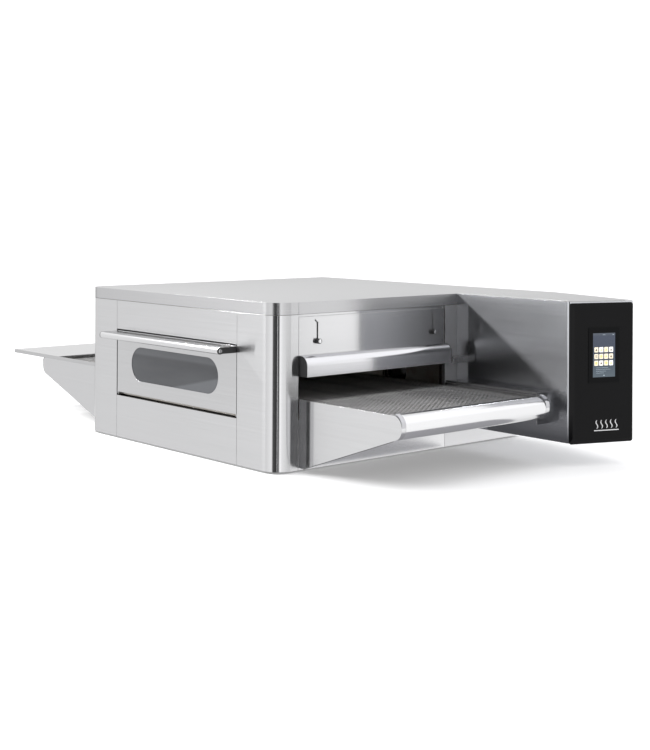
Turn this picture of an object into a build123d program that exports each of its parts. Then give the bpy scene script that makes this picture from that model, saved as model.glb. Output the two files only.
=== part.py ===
"""Countertop conveyor pizza oven.

Lengths are millimetres.  The pieces are drawn in the machine's own frame: X runs along the
conveyor, Y goes from the door to the back, Z is up, and the zero point is the sharp front right
corner of the body at the bottom of its skirt.  save() shifts every piece so that the finished
part stands on Z = 0 with its box centred on X = 0 and Y = 0.
"""
from build123d import *
import math
import os

os.makedirs("parts", exist_ok=True)

# ---- body ----------------------------------------------------------------------------------
BODY_L = 1040.0            # along the conveyor
BODY_D = 1090.0            # door to back
BODY_H = 500.0             # skirt bottom to top
SHEET = 1.5                # cladding thickness
CORNER_R = 60.0            # rounded front corners
BAND_H = 36.5              # height of the lid's turned down band
SEAM = 1.0                 # visible gap between panels
PAN_T = 2.0                # base pan thickness
FOOT_H = 6.0
FOOT_R = 22.0
COLUMN_FRONT = 185.0       # width of a corner column seen from the front
COLUMN_END = 89.0          # width of a corner column seen from the end
RETURN = 15.0              # depth of the columns' inward returns
WALL_TOP = BODY_H - BAND_H - SEAM
UPPER_PANEL_Z = 366.0
LOWER_PANEL_Z = 140.5

# ---- conveyor ------------------------------------------------------------------------------
BELT_NEAR = 91.0           # outer face of the near side plate
BELT_FAR = 716.5           # outer face of the far side plate
RAIL_TOP = 211.0           # top edge of the side plates
BELT_TOP = 205.0
BELT_T = 4.0
ROLLER_Z = 183.0
BELT_R = BELT_TOP - ROLLER_Z
REACH_RIGHT = 438.0        # side plates beyond the right end
REACH_LEFT = 480.0         # side plates beyond the left end
PLATE_FOOT = 7.0           # bottom of the side plates
PLATE_RUN = 415.0          # length of the sloping bottom edge
PLATE_RISE = 144.5         # height gained over that run
NOSE_R = 33.0
NOSE_LIP = 9.0             # flat lip between the belt and the rounded nose
NOSE_BAND = 17.0           # flange that wraps the tip of a side plate
RIM = 3.0                  # inward flange of the side plates elsewhere
FAR_PLATE_Z = 150.0        # bottom of the far side plates, short of their tips
CRUMB_Z = 143.0            # outer end of the crumb pan
CRUMB_SLOPE = 0.17
ROLLER_RIGHT_X = REACH_RIGHT - NOSE_R
ROLLER_LEFT_X = -(BODY_L + REACH_LEFT - NOSE_R)
DRIVE_X = 345.0
SHAFT_R = 7.5
DRIVE_COVER_X = 388.0
DRIVE_COVER_TOP = 216.0
WHEEL_YS = [135.0 + 107.5 * index for index in range(6)]
WHEEL_T = 10.0
WHEEL_R = BELT_R - BELT_T - 0.3
CHAIN_R = 25.0
MOTOR_X = 225.0
RUNNING = 0.05             # radial running clearance

# ---- end openings and shutters ---------------------------------------------------------------
MOUTH_Z0 = 148.0
MOUTH_Z1 = 345.0
BAR_Z0 = 279.0
BAR_H = 61.0
BAR_DEPTH = 34.0
BAR_BACK_X = -2.5          # back of the bar, on the shutter plate
BAR_FAR_Y = BELT_FAR - 3.5
BAR_CAP = 3.0
LEDGE_H = 17.0
PLATE_TOP = 455.0
SHUTTER_DROP = 55.0
STUD_Z = 380.0
STUD_YS = (165.0, 661.0)
STUD_R = 2.5
SLOT_W = 6.0
SLOT_END = 3.0             # slot left above and below the studs' travel
KNOB_R = 8.0
KNOB_L = 13.0

# ---- door ------------------------------------------------------------------------------------
DOOR_X0 = -851.0
DOOR_X1 = -186.5
DOOR_Z0 = 153.0
DOOR_Z1 = 361.0
DOOR_T = 39.5
FRAME_W = 5.5              # sides of the ring that lines the door opening
FRAME_GAP = 1.5            # gap beside the door
FRAME_Z0 = 150.0
FRAME_Z1 = 365.5
GASKET_INSET = 12.0
GASKET_W = 10.0
GASKET_T = 5.0
WINDOW_X0 = -764.0
WINDOW_X1 = -279.0
WINDOW_Z = 256.5
WINDOW_H = 113.0
PANE_T = 4.0
HINGE_Y = 6.0
HINGE_Z = 149.0
PIN_R = 3.0
HANDLE_R = 10.5
HANDLE_Y = -61.0
HANDLE_Z = 349.0
HANDLE_PLATE = 3.0         # end plates that carry the bar
HANDLE_PLATE_Z = 340.0

# ---- baking chamber --------------------------------------------------------------------------
CHAMBER_X0 = -1010.0
CHAMBER_X1 = -30.0
CHAMBER_Y0 = 66.0
CHAMBER_Y1 = 845.0
CHAMBER_Z0 = 100.0
CHAMBER_Z1 = 400.0
SUCTION_Y = 735.0
FAN_XS = (-780.0, -260.0)
FAN_Z = 225.0
FAN_R = 95.0
FAN_SHAFT_R = 8.0
INSULATION_Y1 = 905.0
DUCT_X0 = CHAMBER_X0 + 60
DUCT_X1 = CHAMBER_X1 - 60
DUCT_Y0 = CHAMBER_Y0 + 34
UPPER_DUCT = (300.0, 360.0)
LOWER_DUCT = (106.0, 148.0)
PORT_R = 60.0              # suction ports in front of the fans
SHAFT_HOLE_R = 12.0
ELEMENT_YS = (768.0, 786.0, 804.0)
MOTOR_R = 52.0
MOTOR_Y1 = 1030.0

# ---- control box -----------------------------------------------------------------------------
BOX_Y = 770.0              # its face beside the conveyor
BOX_FRONT_X = 470.0        # where that face meets the fascia
BOX_FAR = (549.0, 980.0)   # far corner of the fascia
BOX_BACK_X = 150.0         # where the slanted back reaches the body's back plane
BOX_Z0 = 67.0
BOX_BEND = 10.0            # radius of the upright bend beside the fascia
FASCIA_FRONT = 5.0         # front of the fascia, ahead of the box's corner
FASCIA_Z0 = 64.0
FASCIA_Z1 = 494.0
FASCIA_T = 2.5
FASCIA_STEP = 4.0          # how far the bevelled rim falls away
FASCIA_LEFT_BEVEL = 16.0
FASCIA_BEVEL = 12.0
FASCIA_RIGHT_BEVEL = 4.0
SCREEN_W = 79.0
SCREEN_H = 135.0
SCREEN_U = 118.2           # screen centre from the fascia's near edge
SCREEN_V = 269.7           # screen centre above the fascia's bottom
BEZEL_W = 110.0
BEZEL_H = 170.0

# ---- landing tray ----------------------------------------------------------------------------
TRAY_X0 = -1737.0
TRAY_X1 = -1400.0
TRAY_TOP = 217.5
TRAY_LIP = 13.0

FASCIA_DX = BOX_FAR[0] - BOX_FRONT_X
FASCIA_DY = BOX_FAR[1] - BOX_Y
FASCIA_W = math.hypot(FASCIA_DX, FASCIA_DY)
FASCIA_ALONG = (FASCIA_DX / FASCIA_W, FASCIA_DY / FASCIA_W)
FASCIA_H = FASCIA_Z1 - FASCIA_Z0
FASCIA_X = BOX_FRONT_X + FASCIA_FRONT * FASCIA_ALONG[1]
FASCIA_Y = BOX_Y - FASCIA_FRONT * FASCIA_ALONG[0]
FASCIA_PLANE = Plane(origin=(FASCIA_X, FASCIA_Y, FASCIA_Z0),
                     x_dir=(FASCIA_ALONG[0], FASCIA_ALONG[1], 0),
                     z_dir=(FASCIA_ALONG[1], -FASCIA_ALONG[0], 0))
RIGHT_MOST = FASCIA_X + (FASCIA_W - FASCIA_RIGHT_BEVEL) * FASCIA_ALONG[0]

CENTRE_X = (TRAY_X0 + RIGHT_MOST) / 2
CENTRE_Y = (HANDLE_Y - HANDLE_R + BODY_D) / 2


# ---- helpers ---------------------------------------------------------------------------------
def block(x0, x1, y0, y1, z0, z1):
    """A box between two corners."""
    corner = Pos((x0 + x1) / 2, (y0 + y1) / 2, (z0 + z1) / 2)
    return corner * Box(x1 - x0, y1 - y0, z1 - z0)


def rod_x(x0, x1, y, z, r):
    """A round bar along X."""
    return Pos((x0 + x1) / 2, y, z) * Rot(0, 90, 0) * Cylinder(r, x1 - x0)


def rod_y(x, y0, y1, z, r):
    """A round bar along Y."""
    return Pos(x, (y0 + y1) / 2, z) * Rot(90, 0, 0) * Cylinder(r, y1 - y0)


def side_view(face, y0, y1):
    """Extrude a face drawn in X and Z from y0 to y1."""
    plane = Plane(origin=(0, y0, 0), x_dir=(1, 0, 0), z_dir=(0, -1, 0))
    return extrude(plane * face, amount=-(y1 - y0))


def outline(points):
    """A closed face through the points."""
    return make_face(Polyline(*points, close=True))


def other_end(piece):
    """Mirror a piece from the right end of the body to the left end."""
    return piece.mirror(Plane.YZ.offset(-BODY_L / 2))


def far_side(piece):
    """Mirror a piece from the near side of the conveyor to its far side."""
    return piece.mirror(Plane.XZ.offset(-(BELT_NEAR + BELT_FAR) / 2))


def group(pieces):
    """Separate solids that share one node."""
    solids = []
    for piece in pieces:
        solids.extend(piece.solids())
    return Compound(solids)


def at_end(side, piece):
    """A piece drawn at the right end, placed at the named end."""
    return piece if side == "right" else other_end(piece)


def save(node, piece):
    """Write one node in the finished part's frame."""
    shift = Location((-CENTRE_X, -CENTRE_Y, FOOT_H))
    export_step(piece.moved(shift), f"parts/{node}.step")


def rounded_body(inset, z0, z1):
    """The body's plan with its two rounded front corners."""
    piece = block(-BODY_L + inset, -inset, inset, BODY_D - inset, z0, z1)
    front = [e for e in piece.edges().filter_by(Axis.Z) if e.center().Y < BODY_D / 2]
    return fillet(front, CORNER_R - inset)


# ---- chassis ---------------------------------------------------------------------------------
def base_pan():
    """Floor sheet, a little smaller than the space between the walls."""
    return rounded_body(SHEET + 0.3, 0, PAN_T)


def feet():
    inset = 70.0
    feet_list = []
    for x in (-inset, -BODY_L + inset):
        for y in (inset, BODY_D - inset):
            disc = Pos(x, y, -FOOT_H / 2) * Cylinder(FOOT_R, FOOT_H)
            feet_list.append(chamfer(disc.edges().group_by(Axis.Z)[0], 1.5))
    return group(feet_list)


def column_block(inset, overrun):
    """A block with the rounded corner, inset from the two outer faces."""
    piece = block(-COLUMN_FRONT + SEAM - overrun, -inset, inset, COLUMN_END + overrun, 0, WALL_TOP)
    corner = piece.edges().filter_by(Axis.Z).sort_by(lambda e: e.center().X - e.center().Y)[-1]
    return fillet(corner, CORNER_R - inset)


def front_column_right():
    """Rounded corner sheet with a return at each end."""
    x0 = -COLUMN_FRONT + SEAM
    column = column_block(0, 0) - column_block(SHEET, 5)
    column += block(x0, x0 + SHEET, 0, RETURN, PAN_T, WALL_TOP)
    column += block(-RETURN, 0, COLUMN_END - SHEET, COLUMN_END, PAN_T, WALL_TOP)
    return column


def front_columns():
    right = front_column_right()
    left = other_end(right)
    hole = rod_x(DOOR_X0 - 20, DOOR_X1 + 20, HINGE_Y, HINGE_Z, PIN_R)
    return group([right - hole, left - hole])


def front_panels():
    """The fixed panels above and below the door, each with a return towards the door."""
    x0 = -BODY_L + COLUMN_FRONT
    x1 = -COLUMN_FRONT
    upper = block(x0, x1, 0, SHEET, UPPER_PANEL_Z, WALL_TOP)
    upper += block(x0, x1, 0, RETURN, UPPER_PANEL_Z, UPPER_PANEL_Z + SHEET)
    lower = block(x0, x1, 0, SHEET, 0, LOWER_PANEL_Z)
    lower += block(x0, x1, 0, RETURN, LOWER_PANEL_Z - SHEET, LOWER_PANEL_Z)
    return group([upper, lower])


def top_lid():
    """Tray shaped lid whose band follows the rounded corners."""
    shell = rounded_body(0, BODY_H - BAND_H, BODY_H)
    shell -= rounded_body(SHEET, BODY_H - BAND_H, BODY_H - SHEET)
    groove = block(-0.6, 0.6, COLUMN_END, COLUMN_END + SEAM, BODY_H - BAND_H, BODY_H)
    return shell - groove - other_end(groove)


def rear_panel():
    """Back sheet with louvre slots behind the fan motors."""
    panel = block(-BODY_L, 0, BODY_D - SHEET, BODY_D, 0, WALL_TOP)
    louvre = Rot(90, 0, 0) * extrude(SlotOverall(180, 6), 2, both=True)
    for x in FAN_XS:
        for row in range(8):
            panel -= Pos(x, BODY_D - SHEET / 2, FAN_Z - 84 + row * 24) * louvre
    return panel


def rear_end_panels():
    """End faces behind the conveyor, with a return beside the opening."""
    y0 = BELT_FAR - SEAM
    right = block(-SHEET, 0, y0, BODY_D - SHEET, 0, WALL_TOP)
    right += block(-RETURN, 0, y0, y0 + SHEET, PAN_T, WALL_TOP)
    wiring = rod_x(-SHEET, 0, BODY_D - 150, 300, 20)
    return group([right - wiring, other_end(right)])


def end_frames():
    """Below each opening a skirt, above it the header that carries the shutter."""
    y0 = COLUMN_END + SEAM
    y1 = BELT_FAR - 2 * SEAM
    skirt = block(-SHEET, 0, y0, y1, 0, MOUTH_Z0)
    skirt += block(-20, 0, y0, y1, MOUTH_Z0 - SHEET, MOUTH_Z0)
    header = block(-8, -6.5, y0, y1, MOUTH_Z1, WALL_TOP)
    header += block(-26, -6.5, y0, y1, MOUTH_Z1, MOUTH_Z1 + SHEET)
    return group([skirt, header, other_end(skirt), other_end(header)])


def fixed_pins():
    """Shutter studs on the headers and the door's two hinge pins."""
    pins = []
    for y in STUD_YS:
        stud = rod_x(-6.5, 8, y, STUD_Z, STUD_R)
        pins.extend([stud, other_end(stud)])
    inner = -COLUMN_FRONT + SEAM + SHEET
    pin = rod_x(DOOR_X1 - 5, inner, HINGE_Y, HINGE_Z, PIN_R)
    pin += rod_x(inner, inner + 3, HINGE_Y, HINGE_Z, PIN_R + 1.4)
    pins.append(pin)
    outer = -BODY_L - inner
    pin = rod_x(outer, DOOR_X0 + 5, HINGE_Y, HINGE_Z, PIN_R)
    pin += rod_x(outer - 3, outer, HINGE_Y, HINGE_Z, PIN_R + 1.4)
    pins.append(pin)
    return group(pins)


# ---- baking chamber --------------------------------------------------------------------------
def chamber_liner():
    """Floor, roof and the two end walls with the belt's mouth."""
    floor = block(CHAMBER_X0, CHAMBER_X1, CHAMBER_Y0, CHAMBER_Y1, CHAMBER_Z0, CHAMBER_Z0 + SHEET)
    roof = block(CHAMBER_X0, CHAMBER_X1, CHAMBER_Y0, CHAMBER_Y1, CHAMBER_Z1, CHAMBER_Z1 + SHEET)
    end = block(CHAMBER_X1, CHAMBER_X1 + SHEET, CHAMBER_Y0 - SHEET, CHAMBER_Y1 + SHEET,
                CHAMBER_Z0, CHAMBER_Z1 + SHEET)
    end -= block(CHAMBER_X1 - 1, CHAMBER_X1 + 3, BELT_NEAR, BELT_FAR, MOUTH_Z0, MOUTH_Z1)
    return group([floor, roof, end, other_end(end)])


def chamber_front():
    """Front wall with the door opening."""
    wall = block(CHAMBER_X0, CHAMBER_X1, CHAMBER_Y0 - SHEET, CHAMBER_Y0,
                 CHAMBER_Z0, CHAMBER_Z1 + SHEET)
    inset = GASKET_INSET + 3
    return wall - block(DOOR_X0 + inset, DOOR_X1 - inset, 0, CHAMBER_Y0 + 1,
                        DOOR_Z0 + inset, DOOR_Z1 - inset)


def plenum_walls():
    """Perforated suction wall and the back wall that the fan shafts pass."""
    suction = block(CHAMBER_X0, CHAMBER_X1, SUCTION_Y, SUCTION_Y + SHEET,
                    CHAMBER_Z0 + SHEET, CHAMBER_Z1)
    for z0, z1 in (UPPER_DUCT, LOWER_DUCT):
        suction -= block(DUCT_X0, DUCT_X1, SUCTION_Y - 1, SUCTION_Y + 5, z0, z1)
    back = block(CHAMBER_X0, CHAMBER_X1, CHAMBER_Y1, CHAMBER_Y1 + SHEET,
                 CHAMBER_Z0, CHAMBER_Z1 + SHEET)
    for x in FAN_XS:
        suction -= rod_y(x, SUCTION_Y - 1, SUCTION_Y + 5, FAN_Z, PORT_R)
        back -= rod_y(x, CHAMBER_Y1 - 1, CHAMBER_Y1 + 5, FAN_Z, SHAFT_HOLE_R)
    return group([suction, back])


def air_duct(z0, z1, jet_z):
    """Flat hollow duct, open to the plenum, with rows of jet holes on its belt side."""
    duct = block(DUCT_X0, DUCT_X1, DUCT_Y0, SUCTION_Y + SHEET, z0, z1)
    duct -= block(DUCT_X0 + SHEET, DUCT_X1 - SHEET, DUCT_Y0 + SHEET, SUCTION_Y + 5,
                  z0 + SHEET, z1 - SHEET)
    for column in range(12):
        for row in range(5):
            x = DUCT_X0 + 60 + column * 67
            y = DUCT_Y0 + 60 + row * 120
            duct -= Pos(x, y, jet_z) * Cylinder(9, 3 * SHEET)
    return duct


def air_ducts():
    upper = air_duct(*UPPER_DUCT, UPPER_DUCT[0])
    lower = air_duct(*LOWER_DUCT, LOWER_DUCT[1])
    return group([upper, lower])


def door_frame():
    """Ring that lines the door opening, with an inner flange that the gasket meets."""
    x0 = DOOR_X0 - FRAME_GAP
    x1 = DOOR_X1 + FRAME_GAP
    ring = block(x0 - FRAME_W, x1 + FRAME_W, RETURN + SEAM, CHAMBER_Y0 - SHEET,
                 FRAME_Z0 - FRAME_W, FRAME_Z1 + FRAME_W)
    ring -= block(x0, x1, 0, CHAMBER_Y0, FRAME_Z0, FRAME_Z1)
    seat_y = DOOR_T + GASKET_T + 0.5
    seat = block(x0 - 1, x1 + 1, seat_y, seat_y + SHEET, FRAME_Z0 - 1, FRAME_Z1 + 1)
    inset = GASKET_INSET + GASKET_W + 3
    seat -= block(DOOR_X0 + inset, DOOR_X1 - inset, 0, CHAMBER_Y0,
                  DOOR_Z0 + inset, DOOR_Z1 - inset)
    return ring + seat


def insulation():
    """Mineral wool above, below and behind the chamber."""
    x0 = -BODY_L + 18
    x1 = -18
    top = block(x0, x1, CHAMBER_Y0, INSULATION_Y1, CHAMBER_Z1 + SHEET, WALL_TOP - 2)
    bottom = block(x0, x1, CHAMBER_Y0, CHAMBER_Y1, 40, CHAMBER_Z0)
    back = block(x0, x1, CHAMBER_Y1 + SHEET, INSULATION_Y1, 40, CHAMBER_Z1 + SHEET)
    for x in FAN_XS:
        back -= rod_y(x, CHAMBER_Y1, INSULATION_Y1 + 1, FAN_Z, SHAFT_HOLE_R)
    return group([top, bottom, back])


def heating_elements():
    """Three sheathed turns around each fan wheel."""
    turns = []
    for x in FAN_XS:
        for y in ELEMENT_YS:
            turns.append(Pos(x, y, FAN_Z) * Rot(90, 0, 0) * Torus(108, 4))
    return group(turns)


def fan_motors():
    """Motor bodies behind the insulation, bored for their shafts."""
    motors = []
    for x in FAN_XS:
        motor = rod_y(x, INSULATION_Y1, MOTOR_Y1, FAN_Z, MOTOR_R)
        motor -= rod_y(x, INSULATION_Y1 - 1, MOTOR_Y1 - 40, FAN_Z, FAN_SHAFT_R + RUNNING)
        motors.append(motor)
    return group(motors)


def fan_impeller(x):
    """Radial wheel with straight blades, a back disc, a hub and its shaft."""
    y0 = 780.0
    disc_y = 810.0
    wheel = rod_y(x, disc_y, disc_y + 2, FAN_Z, FAN_R)
    wheel += rod_y(x, y0, disc_y, FAN_Z, 16)
    wheel += rod_y(x, y0, MOTOR_Y1 - 41, FAN_Z, FAN_SHAFT_R)
    for index in range(12):
        blade = Pos(FAN_R - 20, 0, 0) * Box(36, 2, 50)
        blade = Rot(0, 0, index * 30) * blade
        wheel += Pos(x, disc_y - 24.5, FAN_Z) * Rot(90, 0, 0) * blade
    return wheel


# ---- conveyor --------------------------------------------------------------------------------
def belt_loop(outer_r):
    """Plan of a belt that runs round the two tail rollers."""
    slot = SlotCenterToCenter(ROLLER_RIGHT_X - ROLLER_LEFT_X, 2 * outer_r)
    return Pos((ROLLER_RIGHT_X + ROLLER_LEFT_X) / 2, ROLLER_Z) * slot


def conveyor_belt():
    loop = belt_loop(BELT_R) - belt_loop(BELT_R - BELT_T)
    return side_view(loop, BELT_NEAR + 8, BELT_FAR - 8)


def conveyor_rails():
    """The two long bars that carry the shafts."""
    rail = block(ROLLER_LEFT_X - 8, ROLLER_RIGHT_X + 8, BELT_NEAR + 3, BELT_NEAR + 6, 168, 198)
    for x in (ROLLER_LEFT_X, ROLLER_RIGHT_X, DRIVE_X):
        rail -= rod_y(x, BELT_NEAR, BELT_NEAR + 10, ROLLER_Z, SHAFT_R + 2)
    return group([rail, far_side(rail)])


def belt_supports():
    """Cross bars between the rails, with wear strips under the carrying run."""
    y0 = BELT_NEAR + 6
    y1 = BELT_FAR - 6
    pieces = []
    x = ROLLER_LEFT_X + 90
    while x < DRIVE_X - 40:
        pieces.append(rod_y(x, y0, y1, 190.5, 5))
        x += 270
    for y in (150, 319, 488, 657):
        strip = block(ROLLER_LEFT_X + 30, DRIVE_X - 30, y - 6, y + 6, 195.5, BELT_TOP - BELT_T)
        pieces.append(strip)
    return group(pieces)


def roller(x):
    """Shaft with six belt wheels."""
    piece = rod_y(x, BELT_NEAR + 2.5, BELT_FAR - 2.5, ROLLER_Z, SHAFT_R)
    for y in WHEEL_YS:
        piece += rod_y(x, y - WHEEL_T / 2, y + WHEEL_T / 2, ROLLER_Z, WHEEL_R)
    return piece


def toothed_wheel(x, y0, y1, radius, teeth, depth):
    """A disc with square teeth."""
    wheel = rod_y(x, y0, y1, ROLLER_Z, radius - depth)
    for index in range(teeth):
        tooth = Pos(radius - depth, 0, 0) * Box(2 * depth - 0.4, depth, y1 - y0)
        tooth = Rot(90, 0, 0) * Rot(0, 0, index * 360 / teeth) * tooth
        wheel += Pos(x, (y0 + y1) / 2, ROLLER_Z) * tooth
    return wheel


def drive_shaft():
    return rod_y(DRIVE_X, BELT_NEAR + 2.5, BOX_Y + 28, ROLLER_Z, SHAFT_R)


def drive_sprockets():
    """Six belt sprockets and the chain sprocket, all pressed on the drive shaft."""
    bore = rod_y(DRIVE_X, BELT_NEAR, BOX_Y + 60, ROLLER_Z, SHAFT_R)
    wheels = []
    for y in WHEEL_YS:
        wheel = toothed_wheel(DRIVE_X, y - WHEEL_T / 2, y + WHEEL_T / 2, WHEEL_R, 12, 2.5)
        wheels.append(wheel - bore)
    wheels.append(toothed_wheel(DRIVE_X, BOX_Y + 15, BOX_Y + 20, CHAIN_R, 16, 3) - bore)
    return group(wheels)


def motor_sprocket():
    """Output sprocket with its stub shaft."""
    wheel = toothed_wheel(MOTOR_X, BOX_Y + 15, BOX_Y + 20, CHAIN_R, 16, 3)
    wheel += rod_y(MOTOR_X, BOX_Y + 12, BOX_Y + 50, ROLLER_Z, SHAFT_R)
    return wheel


def drive_chain():
    """Closed chain loop round the two sprockets."""
    length = DRIVE_X - MOTOR_X
    place = Pos((DRIVE_X + MOTOR_X) / 2, ROLLER_Z)
    loop = place * SlotCenterToCenter(length, 2 * CHAIN_R + 8)
    loop -= place * SlotCenterToCenter(length, 2 * CHAIN_R + 0.6)
    return side_view(loop, BOX_Y + 14, BOX_Y + 21)


def gearmotor():
    """Right angle gearbox and motor on a folded bracket."""
    y0 = BOX_Y + 30
    body = block(MOTOR_X - 40, MOTOR_X + 40, y0, y0 + 80, ROLLER_Z - 40, ROLLER_Z + 40)
    body -= rod_y(MOTOR_X, y0 - 1, y0 + 25, ROLLER_Z, SHAFT_R + RUNNING)
    body += rod_y(MOTOR_X, y0 + 80, y0 + 190, ROLLER_Z, 33)
    body += block(MOTOR_X - 30, MOTOR_X + 30, y0 + 10, y0 + 70, BOX_Z0 + SHEET, ROLLER_Z - 40)
    return body


def shaft_bearings():
    """Flanged bushes for the three belt shafts."""
    bushes = []
    for x in (ROLLER_LEFT_X, ROLLER_RIGHT_X, DRIVE_X):
        bush = rod_y(x, BELT_NEAR + 3, BELT_NEAR + 6, ROLLER_Z, SHAFT_R + 2)
        bush += rod_y(x, BELT_NEAR + 6, BELT_NEAR + 12, ROLLER_Z, 10.5)
        bush -= rod_y(x, BELT_NEAR, BELT_NEAR + 20, ROLLER_Z, SHAFT_R + RUNNING)
        bushes.extend([bush, far_side(bush)])
    return group(bushes)


def side_face(reach):
    """Side plate outline: flat top, rounded tip, sloping bottom; X starts at the body's end."""
    start = reach - PLATE_RUN
    points = [(0.5, PLATE_FOOT), (start, PLATE_FOOT), (reach, PLATE_FOOT + PLATE_RISE),
              (reach, RAIL_TOP), (0.5, RAIL_TOP)]
    face = outline(points)
    tips = [v for v in face.vertices() if v.X > reach - 1]
    top = max(tips, key=lambda v: v.Y)
    face = fillet(top, NOSE_R)
    low = min((v for v in face.vertices() if v.X > reach - 1), key=lambda v: v.Y)
    return fillet(low, NOSE_R)


def tip_ring(reach, outer, inner):
    """Strip round the tip, between two insets from the side plate's outline."""
    face = side_face(reach)
    ring = offset(face, -outer) if outer else face
    ring -= offset(face, -inner)
    centre_x = reach - NOSE_R
    window = [(centre_x - NOSE_LIP, ROLLER_Z), (centre_x - NOSE_LIP, RAIL_TOP + 1),
              (reach + 1, RAIL_TOP + 1), (reach + 1, 0), (centre_x + 6, 0), (centre_x + 6, ROLLER_Z)]
    return ring & outline(window)


def near_side_plate(reach):
    """Side plate with an inward flange round its tip and bottom."""
    face = side_face(reach)
    plate = side_view(face, BELT_NEAR, BELT_NEAR + SHEET)
    rim = side_view(face - offset(face, -SHEET), BELT_NEAR, BELT_NEAR + RIM)
    above_slope = PLATE_FOOT + PLATE_RISE
    rim -= block(0, reach - NOSE_R, BELT_NEAR + SHEET, BELT_NEAR + 20, above_slope, RAIL_TOP + 1)
    rim -= block(0, 4, BELT_NEAR + SHEET, BELT_NEAR + 20, 0, RAIL_TOP + 1)
    band = side_view(tip_ring(reach, 0, SHEET), BELT_NEAR, BELT_NEAR + NOSE_BAND)
    return plate + rim + band


def far_side_plate(reach):
    """Side plate away from the door: the same tip, but a shallow level bottom."""
    plate = far_side(near_side_plate(reach))
    return plate - block(0, reach - NOSE_R + 6, BELT_FAR - NOSE_BAND - 1, BELT_FAR + 1, 0, FAR_PLATE_Z)


def conveyor_sides():
    """Two side plates at each end, one of them bored for the drive shaft."""
    shaft_hole = rod_y(DRIVE_X, BELT_FAR - 20, BELT_FAR + 5, ROLLER_Z, SHAFT_R + 3)
    right_far = far_side_plate(REACH_RIGHT) - shaft_hole
    left = [other_end(near_side_plate(REACH_LEFT)), other_end(far_side_plate(REACH_LEFT))]
    return group([near_side_plate(REACH_RIGHT), right_far, *left])


def nose_cover(reach):
    """Half round cover over the belt's turn, with a joggled lap under each side plate's band."""
    y0 = BELT_NEAR + NOSE_BAND + 0.3
    lap = SHEET + 0.3
    cover = side_view(tip_ring(reach, 0, SHEET), y0, BELT_FAR - NOSE_BAND - 0.3)
    joggle = side_view(tip_ring(reach, 0, lap + SHEET), y0, y0 + 3)
    joggle += side_view(tip_ring(reach, lap, lap + SHEET), y0 - 10, y0 + 3)
    return cover + joggle + far_side(joggle)


def nose_covers():
    return group([nose_cover(REACH_RIGHT), other_end(nose_cover(REACH_LEFT))])


def crumb_pan(reach):
    """Sloping pan between the side plates, under the return run."""
    x0 = reach - PLATE_RUN + 8
    x1 = reach - 50
    z1 = CRUMB_Z
    z0 = z1 - CRUMB_SLOPE * (x1 - x0)
    floor = outline([(x0, z0), (x1, z1), (x1, z1 + SHEET), (x0, z0 + SHEET)])
    wall = outline([(x0, z0), (x1, z1), (x1, z1 + 9), (x0, z0 + 9)])
    pan = side_view(floor, BELT_NEAR + RIM + 1, BELT_FAR - RIM - 1)
    pan += side_view(wall, BELT_NEAR + RIM + 1, BELT_NEAR + RIM + 1 + SHEET)
    pan += side_view(wall, BELT_FAR - RIM - 1 - SHEET, BELT_FAR - RIM - 1)
    return pan


def crumb_pans():
    return group([crumb_pan(REACH_RIGHT), other_end(crumb_pan(REACH_LEFT))])


def landing_tray():
    """Lift off shelf over the left end, with two arms that lie along the side plates."""
    y0 = BELT_NEAR - 3
    y1 = BELT_FAR + 3
    z0 = TRAY_TOP - TRAY_LIP
    tray = block(TRAY_X0, TRAY_X1, y0, y1, TRAY_TOP - SHEET, TRAY_TOP)
    tray += block(TRAY_X0, TRAY_X0 + SHEET, y0, y1, z0, TRAY_TOP)
    for y in (y0, y1 - SHEET):
        tray += block(TRAY_X0, -BODY_L - 2, y, y + SHEET, z0, TRAY_TOP)
    return tray


def side_ledge():
    """Short folded ledge beside the pull bar, against the control box."""
    z1 = BAR_Z0 + LEDGE_H
    ledge = block(0, BAR_DEPTH, BELT_FAR + 2, BOX_Y, z1 - SHEET, z1)
    return ledge + block(BAR_DEPTH - SHEET, BAR_DEPTH, BELT_FAR + 2, BOX_Y, BAR_Z0 - 3, z1)


def drive_cover():
    """Channel between the conveyor and the control box, over the drive shaft."""
    y0 = BELT_FAR + 1
    y1 = BOX_Y - 0.5
    top = DRIVE_COVER_TOP
    cover = block(1, DRIVE_COVER_X, y0, y1, top - SHEET, top)
    cover += block(DRIVE_COVER_X - SHEET, DRIVE_COVER_X, y0, y1, 120, top)
    cover += block(1, DRIVE_COVER_X, y0, y0 + SHEET, RAIL_TOP + 1, top + 2.5)
    return group([cover, side_ledge()])


# ---- control box -----------------------------------------------------------------------------
def behind_fascia(distance):
    """The two ends of a line parallel to the fascia, set back from its front by a distance."""
    near = (FASCIA_X - distance * FASCIA_ALONG[1], FASCIA_Y + distance * FASCIA_ALONG[0])
    far = (near[0] + FASCIA_DX, near[1] + FASCIA_DY)
    return near, far


def box_plan(inset):
    """Plan of the control box behind its fascia."""
    near, far = behind_fascia(FASCIA_T + FASCIA_STEP + inset)
    slope = FASCIA_DX / FASCIA_DY
    near = (near[0] + slope * (BOX_Y + inset - near[1]), BOX_Y + inset)
    points = [(0.5 + inset, BOX_Y + inset), near, far,
              (BOX_BACK_X, BODY_D - inset), (0.5 + inset, BODY_D - inset)]
    face = outline(points)
    corner = min(face.vertices(), key=lambda v: math.hypot(v.X - near[0], v.Y - near[1]))
    return fillet(corner, BOX_BEND - inset)


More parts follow.
